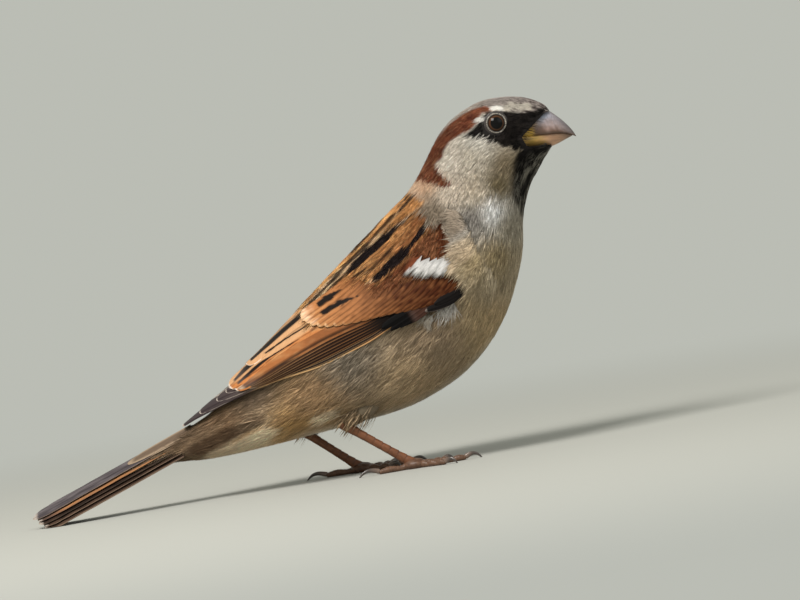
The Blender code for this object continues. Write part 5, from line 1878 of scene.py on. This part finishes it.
def tertial_paint(number, t, w, s, h):
    grain = noise(s * 0.5, w * 3 + number * 7, 52, 1.0) - 0.5
    colour = mix(RUFOUS, RUFOUS_PALE, np.clip(0.10 + 1.1 * grain, 0, 1))
    splits = step(0.66, 0.80, noise(s * 0.45, (h + 0.12 * s) * 4.5, 55, 1.0))
    colour = mix(colour, RUFOUS_DARK, 0.75 * splits)
    colour = mix(colour, BAND_BUFF, 0.9 * step(-0.25, 0.45, h - straight(TERTIAL_BUFF, s)))
    black = np.zeros_like(s)
    for stripe in TERTIALS[number][-1]:
        place, height, half = np.array(stripe).T
        away = np.abs(h - np.interp(s, place, height)) / np.interp(s, place, half)
        ends = step(place[0] - 0.8, place[0], s) * step(place[-1] + 0.5, place[-1], s)
        black = np.maximum(black, step(1.25, 0.75, away) * ends)
    colour = mix(colour, mix(WING_BLACK, QUILL_BROWN, 0.6 * step(58.0, 62.5, s)), black)
    outline = rim(t, w, 0.94, 0.94, 0.990, 0.008)
    start = 0.96 if number == 0 else 0.84
    return mix(colour, WHITE_RIM, 0.9 * outline * step(start, start + 0.04, t))


def make_tertials(side):
    vanes = Vanes("tertials_vanes_" + side, (2, 2))
    for number, (line, upper, lower, _) in enumerate(TERTIALS):
        lay_vane(vanes, side, line, upper, lower, 0.16 + 0.13 * number, tertial_paint, 40, 0.86, 0.5,
                 droop=0.16, cols=31)
    vanes.finish("plumage_brown", ("tertials_" + side,))


def make_primary_coverts(side):
    def paint(_number, _t, _w, s, _h):
        colour = mix(QUILL_BROWN, COVERT_BLACK, step(16.5, 18.5, s))
        return mix(colour, HAND_BROWN, 0.8 * step(19.0, 16.0, s))

    vanes = Vanes("primary_coverts_vanes_" + side, (2, 2))
    for number, (root, tip, upper, lower) in enumerate(PRIMARY_COVERTS):
        middle = ((root[0] + tip[0]) / 2, (root[1] + tip[1]) / 2 - 0.3)
        lay_vane(vanes, side, (root, middle, tip), upper, lower, 0.02 + 0.07 * number, paint, 60, 0.72, 0.1)
    vanes.finish("flight_feather", ("primary_coverts_" + side,))


def make_alula(side):
    def paint(number, t, w, _s, _h):
        return mix(ALULA_BLACK, ALULA_RIM, 0.8 * rim(t, w, 0.86, 1.2, 0.965) * (number == 0))

    vanes = Vanes("alula_vanes_" + side, (2, 1))
    for number, (line, upper, lower) in enumerate(ALULA):
        lay_vane(vanes, side, line, upper, lower, 0.16 + 0.12 * number, paint, 70, 0.70, 0.3)
    vanes.finish("flight_feather", ("alula_" + side,))


def greater_covert_paint(number, t, w, s, h):
    grain = noise(s * 0.8, w * 3 + number * 5, 53, 1.0) - 0.5
    # Towards the wing's bend the coverts darken: partly their own darker chestnut, partly painted shade.
    light = step(12.0, 39.0, s)
    colour = mix(COVERT_FRONT_SHADE, COVERT_RUFOUS, np.clip(0.06 + light * 0.94 + 0.45 * grain, 0, 1))
    colour = mix(colour, RUFOUS_PALE, 0.55 * step(28, 41, s) * step(0.3, -0.6, w))
    for streak, half in COVERT_STREAKS:
        away, share = distance_to_line(streak, s, h)
        broad = half * (0.30 + 0.70 * step(0.0, 0.55, share))
        colour = mix(colour, WING_BLACK, step(1.25, 0.85, (away + 0.35 * grain) / broad))
    lines = 0.45 + 0.55 * step(0.35, 0.65, noise(s * 0.25, h * 3.0, 54, 1.0))
    colour = mix(colour, COVERT_TIP, 0.85 * lines * step(37.4, 40.2, s + 2.0 * grain) * step(3.6, 5.6, h))
    # Thin pale edges with a dark line beside them; only the innermost have pale tips.
    edge = step(0.84, 0.95, -w)
    colour = mix(colour, colour * 0.45, step(0.62, 0.78, -w) * (1 - edge) * 0.5)
    pale = mix(COVERT_RIM, COVERT_RIM_REAR, step(12.0, 40.0, s))
    tip_edge = rim(t, w, 1.2, 1.2, 0.965) * step(30.0, 38.0, s)
    return mix(colour, pale, np.maximum(edge * 0.7, tip_edge * 0.8))


def make_greater_coverts(side):
    vanes = Vanes("greater_coverts_vanes_" + side, (5, 5))
    places = np.linspace(0.0, len(GREATER_TIPS) - 1.0, GREATER_COVERTS)
    tips = [np.interp(places, range(len(GREATER_TIPS)), column) for column in zip(*GREATER_TIPS)]
    for number, (tip_s, tip_h) in enumerate(zip(*tips)):
        share = number / (GREATER_COVERTS - 1)
        length, fall = min(12.5 + 4.5 * share, tip_s + 3.5), math.radians(17.0 - 8.0 * share)
        root = (tip_s - length * math.cos(fall), tip_h + length * math.sin(fall))
        bend = (tip_s - 0.5 * length, tip_h + 0.06 * length)
        lay_vane(vanes, side, (root, bend, (tip_s, tip_h)), 2.4 - 0.3 * share, 0.95 + 0.5 * share,
                 0.10 + 0.025 * number, greater_covert_paint, 80, 0.87, 0.4, droop=0.12, trim=0.30, rows=46,
                 cols=15)
    vanes.finish("plumage_brown", ("greater_coverts_" + side,))


TAIL_FEATHERS = 6
TAIL_COVERTS = 2
TAIL_FALL = (TAIL_ROOT[1] - TAIL_TIP[1]) / (TAIL_ROOT[0] - TAIL_TIP[0])
SLATE = (0.052, 0.043, 0.046)
SLATE_PALE = (0.125, 0.108, 0.112)
TAIL_BROWN = (0.070, 0.042, 0.029)
TAIL_BUFF = (0.34, 0.155, 0.062)
TAIL_RIM = (0.36, 0.245, 0.165)
COVERT_BROWN = (0.115, 0.080, 0.055)
COVERT_EDGE = (0.26, 0.19, 0.13)


def tail_tone(number, t, w, x, y):
    """The tail's feathers differ: slate in the middle, then one with a buff patch, then one painted near
    black as shadow, then dark brown.
    """
    grain = noise(x * 0.4, y * 3, 91 + number, 1.0) - 0.5
    if number == 0:
        colour = mix(SLATE, SLATE_PALE, np.clip(0.15 + grain + 0.3 * step(0.2, -0.6, w), 0, 1))
        colour = mix(colour, TAIL_RIM, 0.6 * step(0.88, 0.97, w))
    elif number == 1:
        colour = mix(SLATE, TAIL_BROWN, np.clip(0.2 + grain, 0, 1))
        patch = 0.55 + 0.45 * step(0.25, 0.75, noise(t * 9, w * 2, 61, 1.0))
        patch = patch * step(-0.25 + 0.5 * t, 0.3 + 0.35 * t, w) * step(1.0, 0.78, t)
        colour = mix(colour, TAIL_BUFF, patch)
    else:
        # The third feather is painted near black, as shadow under the two above it.
        dark, pale = (0.85, 0.15) if number == 2 else (0.35, 0.5)
        colour = mix(TAIL_BROWN, WING_BLACK, np.clip(dark + grain, 0, 1))
        colour = mix(colour, TAIL_RIM, pale * step(0.88, 0.97, w))
    return mix(colour, WHITE_RIM, 0.6 * step(0.972, 0.988, t))


def make_tail(side, sign):
    """Six long feathers a side, laid like roof tiles from the middle pair down and out, and two coverts
    over their root."""
    vanes = Vanes("tail_vanes_" + side, (3, 3))
    slope = unit(np.array((-TAIL_FALL, 0.0, 1.0)))
    normal = unit(slope + np.array((0.0, sign * ROOF_SLOPE * 0.9, 0.0)))
    w = np.linspace(-1.0, 1.0, VANE_COLS)  # -1 is the inner edge, towards the middle

    def add(x, y, z, tone, along, across, thick):
        top = np.stack([x, sign * y, z], axis=-1)
        vanes.add(top, np.broadcast_to(normal, top.shape), tone, along, across, thick)

    tt, ww = np.meshgrid(np.linspace(0.0, 1.0, VANE_ROWS), w, indexing="ij")
    for number in range(TAIL_FEATHERS):
        layer = min(number * 3.6 / (TAIL_FEATHERS - 1), 3.0)
        widths = [np.interp(layer, range(4), column) for column in zip(*TAIL_HALF_WIDTHS)]
        end = TAIL_TIP[0] + TIP_STEP * layer + 0.5 * (number % 2)
        outer = widths[0] * (1 - tt) + widths[1] * tt
        inner = 0.10 + 0.10 * number * tt
        shaft = inner + (outer - inner) * 0.60
        gaps = parted(0.10, tt * 22 + number * 9, ww, 90 + number, step(0.3, 1.0, tt))
        broad = np.where(ww > 0, outer - shaft, shaft - inner) * (0.12 + 0.88 * rounded(tt, 0.86)) * gaps
        y = np.maximum(shaft + ww * broad, 0.06)
        drop = TAIL_STEPS[0] * (1 - tt) * layer + TAIL_STEPS[1] * tt * layer
        start = TAIL_ROOT[0] + 5.0 - ROOT_LEAN * (drop + ROOF_SLOPE * y)
        x = start + (end - start) * tt
        rachis = 0.06 * np.exp(-(((y - shaft) / 0.25) ** 2))
        z = TAIL_ROOT[1] - TAIL_FALL * (TAIL_ROOT[0] - x) - drop - ROOF_SLOPE * y + rachis - 0.06 * ww**2
        tone = tail_tone(number, tt, ww, x, y)
        tone = mix(tone, tone * 0.4, 0.7 * np.exp(-(((y - shaft) / 0.16) ** 2)))
        thick = VANE_THICK if number < TAIL_FEATHERS - 1 else 0.10
        add(x, y, np.maximum(z, 0.05 + VANE_THICK), tone, tt * 37.0, y - shaft, thick)

    tt, ww = np.meshgrid(1 - (1 - np.linspace(0.0, 1.0, 40)) ** 1.6, w, indexing="ij")
    for number in range(TAIL_COVERTS):
        outer = TAIL_HALF_WIDTHS[0][0] * 1.02 + 0.35 * number
        shaft = outer * (0.45 + 0.30 * number)
        gaps = parted(0.12, tt * 16 + number * 7, ww, 97 + number, step(0.3, 1.0, tt))
        broad = np.where(ww > 0, outer - shaft, shaft - 0.06) * (0.10 + 0.90 * rounded(tt, 0.55)) * gaps
        y = shaft + ww * broad
        reach = 0.40 - 0.13 * number
        x = TAIL_ROOT[0] + 4.5 + (TAIL_TIP[0] - TAIL_ROOT[0] - 4.5) * reach * tt
        z = TAIL_ROOT[1] - TAIL_FALL * (TAIL_ROOT[0] - x) - ROOF_SLOPE * y
        z = z + 0.34 - 0.10 * number - 0.12 * tt
        tone = mix(COVERT_BROWN, COVERT_EDGE, step(0.45, 0.85, np.abs(ww)))
        tone = mix(tone, COVERT_EDGE, step(0.86, 0.97, tt))
        add(x, y, z - 0.10 * ww**2, tone, tt * 15.0, y - shaft, 0.09)
    vanes.finish("flight_feather", tuple(f"{name}_{side}" for name in
                                         ("rectrix_1", "rectrices_2_3", "rectrices_4_5", "rectrix_6")))


# ---------------------------------------------------------------- camera, lights and floor

SLOPE = math.radians(9.5)  # the bird stands level; the photo's stone slopes by this much
CAMERA_FAR = 1.6
CAMERA_RISE = math.radians(2.0)
LENS = 295.4
SENSOR_WIDTH = 36.0
AIM = (1.8, 0.0, 40.5)
FLOOR_TONE = (0.37, 0.37, 0.34)
BACKDROP = (0.80, 0.82, 0.74)
BACKDROP_LIGHT = 0.62
FLOOR_HALF = 6.0
FADE_FROM, FADE_TO = 0.07, 0.42  # distances over which the floor turns into the backdrop
LAMP_AIM = (0.0, 0.0, 0.045)
# Azimuth and elevation, distance, size, power, colour.
KEY_LAMP = (-34.0, 50.0, 0.9, 0.40, 11.5, (1.0, 0.975, 0.94))
FILL_LAMP = (55.0, 25.0, 1.1, 0.8, 2.0, (0.92, 0.96, 1.0))


def make_camera():
    camera = bpy.data.objects.new("camera", bpy.data.cameras.new("camera"))
    bpy.context.scene.collection.objects.link(camera)
    camera.data.lens = LENS
    camera.data.sensor_width = SENSOR_WIDTH
    aim = placed(AIM)
    back = np.array((0.0, -math.cos(CAMERA_RISE), math.sin(CAMERA_RISE)))
    right = np.array((1.0, 0.0, 0.0))
    up = np.cross(back, right)
    turned_right = right * math.cos(SLOPE) - up * math.sin(SLOPE)
    turned_up = right * math.sin(SLOPE) + up * math.cos(SLOPE)
    rows = np.eye(4)
    rows[:3] = np.stack([turned_right, turned_up, back, aim + back * CAMERA_FAR], axis=1)
    camera.matrix_world = Matrix(rows.tolist())
    camera.data.clip_start = 0.05
    bpy.context.scene.camera = camera


def area_light(name, azimuth, elevation, far, size, power, colour):
    """A square light at a direction round the bird, turned to it."""
    lamp = bpy.data.lights.new(name, "AREA")
    lamp.size = size
    lamp.energy = power
    lamp.color = colour
    obj = bpy.data.objects.new(name, lamp)
    bpy.context.scene.collection.objects.link(obj)
    a, e = math.radians(azimuth), math.radians(elevation)
    away = Vector((math.sin(a) * math.cos(e), -math.cos(a) * math.cos(e), math.sin(e)))
    obj.location = Vector(LAMP_AIM) + away * far
    obj.rotation_mode = "QUATERNION"
    obj.rotation_quaternion = away.to_track_quat("Z", "Y")


def make_studio():
    mesh = bpy.data.meshes.new("floor")
    corners = [(FLOOR_HALF * x, FLOOR_HALF * y, 0) for x, y in ((-1, -1), (1, -1), (1, 1), (-1, 1))]
    mesh.from_pydata(corners, [], [(0, 1, 2, 3)])
    floor = bpy.data.objects.new("floor", mesh)
    bpy.context.scene.collection.objects.link(floor)
    made = bpy.data.materials.new("studio floor")
    made.use_nodes = True
    nodes = made.node_tree.nodes
    shader = nodes["Principled BSDF"]
    set_inputs(made, shader, {"Base Color": (*FLOOR_TONE, 1.0), "Roughness": 0.7,
                              "Specular IOR Level": 0.2})
    # Further out the floor turns into the backdrop's own light, so that no horizon shows.
    place = add_node(made, "TexCoord", {})
    far = add_node(made, "VectorMath", {0: place.outputs["Object"]}, "LENGTH")
    fade = add_node(made, "MapRange", {"Value": far.outputs["Value"], "From Min": FADE_FROM,
                                       "From Max": FADE_TO})
    fade.interpolation_type = "SMOOTHSTEP"
    glow = add_node(made, "Emission", {"Color": (*BACKDROP, 1.0), "Strength": BACKDROP_LIGHT})
    blend = add_node(made, "MixShader", {"Fac": fade.outputs["Result"], 1: shader.outputs["BSDF"],
                                         2: glow.outputs["Emission"]})
    set_inputs(made, nodes["Material Output"], {"Surface": blend.outputs["Shader"]})
    mesh.materials.append(made)
    world = bpy.data.worlds.new("studio")
    bpy.context.scene.world = world
    world.use_nodes = True
    background = world.node_tree.nodes["Background"]
    background.inputs["Color"].default_value = (*BACKDROP, 1.0)
    background.inputs["Strength"].default_value = BACKDROP_LIGHT
    area_light("key", *KEY_LAMP)
    area_light("fill", *FILL_LAMP)
    bpy.context.scene.view_settings.view_transform = "Standard"


make_skin()
make_body_coat()
make_thigh_coat()
for side, sign in SIDES:
    draws = np.random.default_rng(SEED + 2 + (sign > 0))
    make_lesser_coverts(side, draws)
    make_scapulars(side, draws)
    make_median_coverts(side, draws)
    draws = np.random.default_rng(SEED + 30 + (sign > 0))
    make_wing_bend(side, sign, draws)
    make_white_tuft(side, sign, draws)
    make_eye(side, sign)
    make_bristles(side, sign)
    make_flank_strands(side, sign)
    make_leg(side, sign)
    make_primaries(side)
    make_secondaries(side)
    make_tertials(side)
    make_primary_coverts(side)
    make_alula(side)
    make_greater_coverts(side)
    make_tail(side, sign)
make_bill()
make_camera()
make_studio()
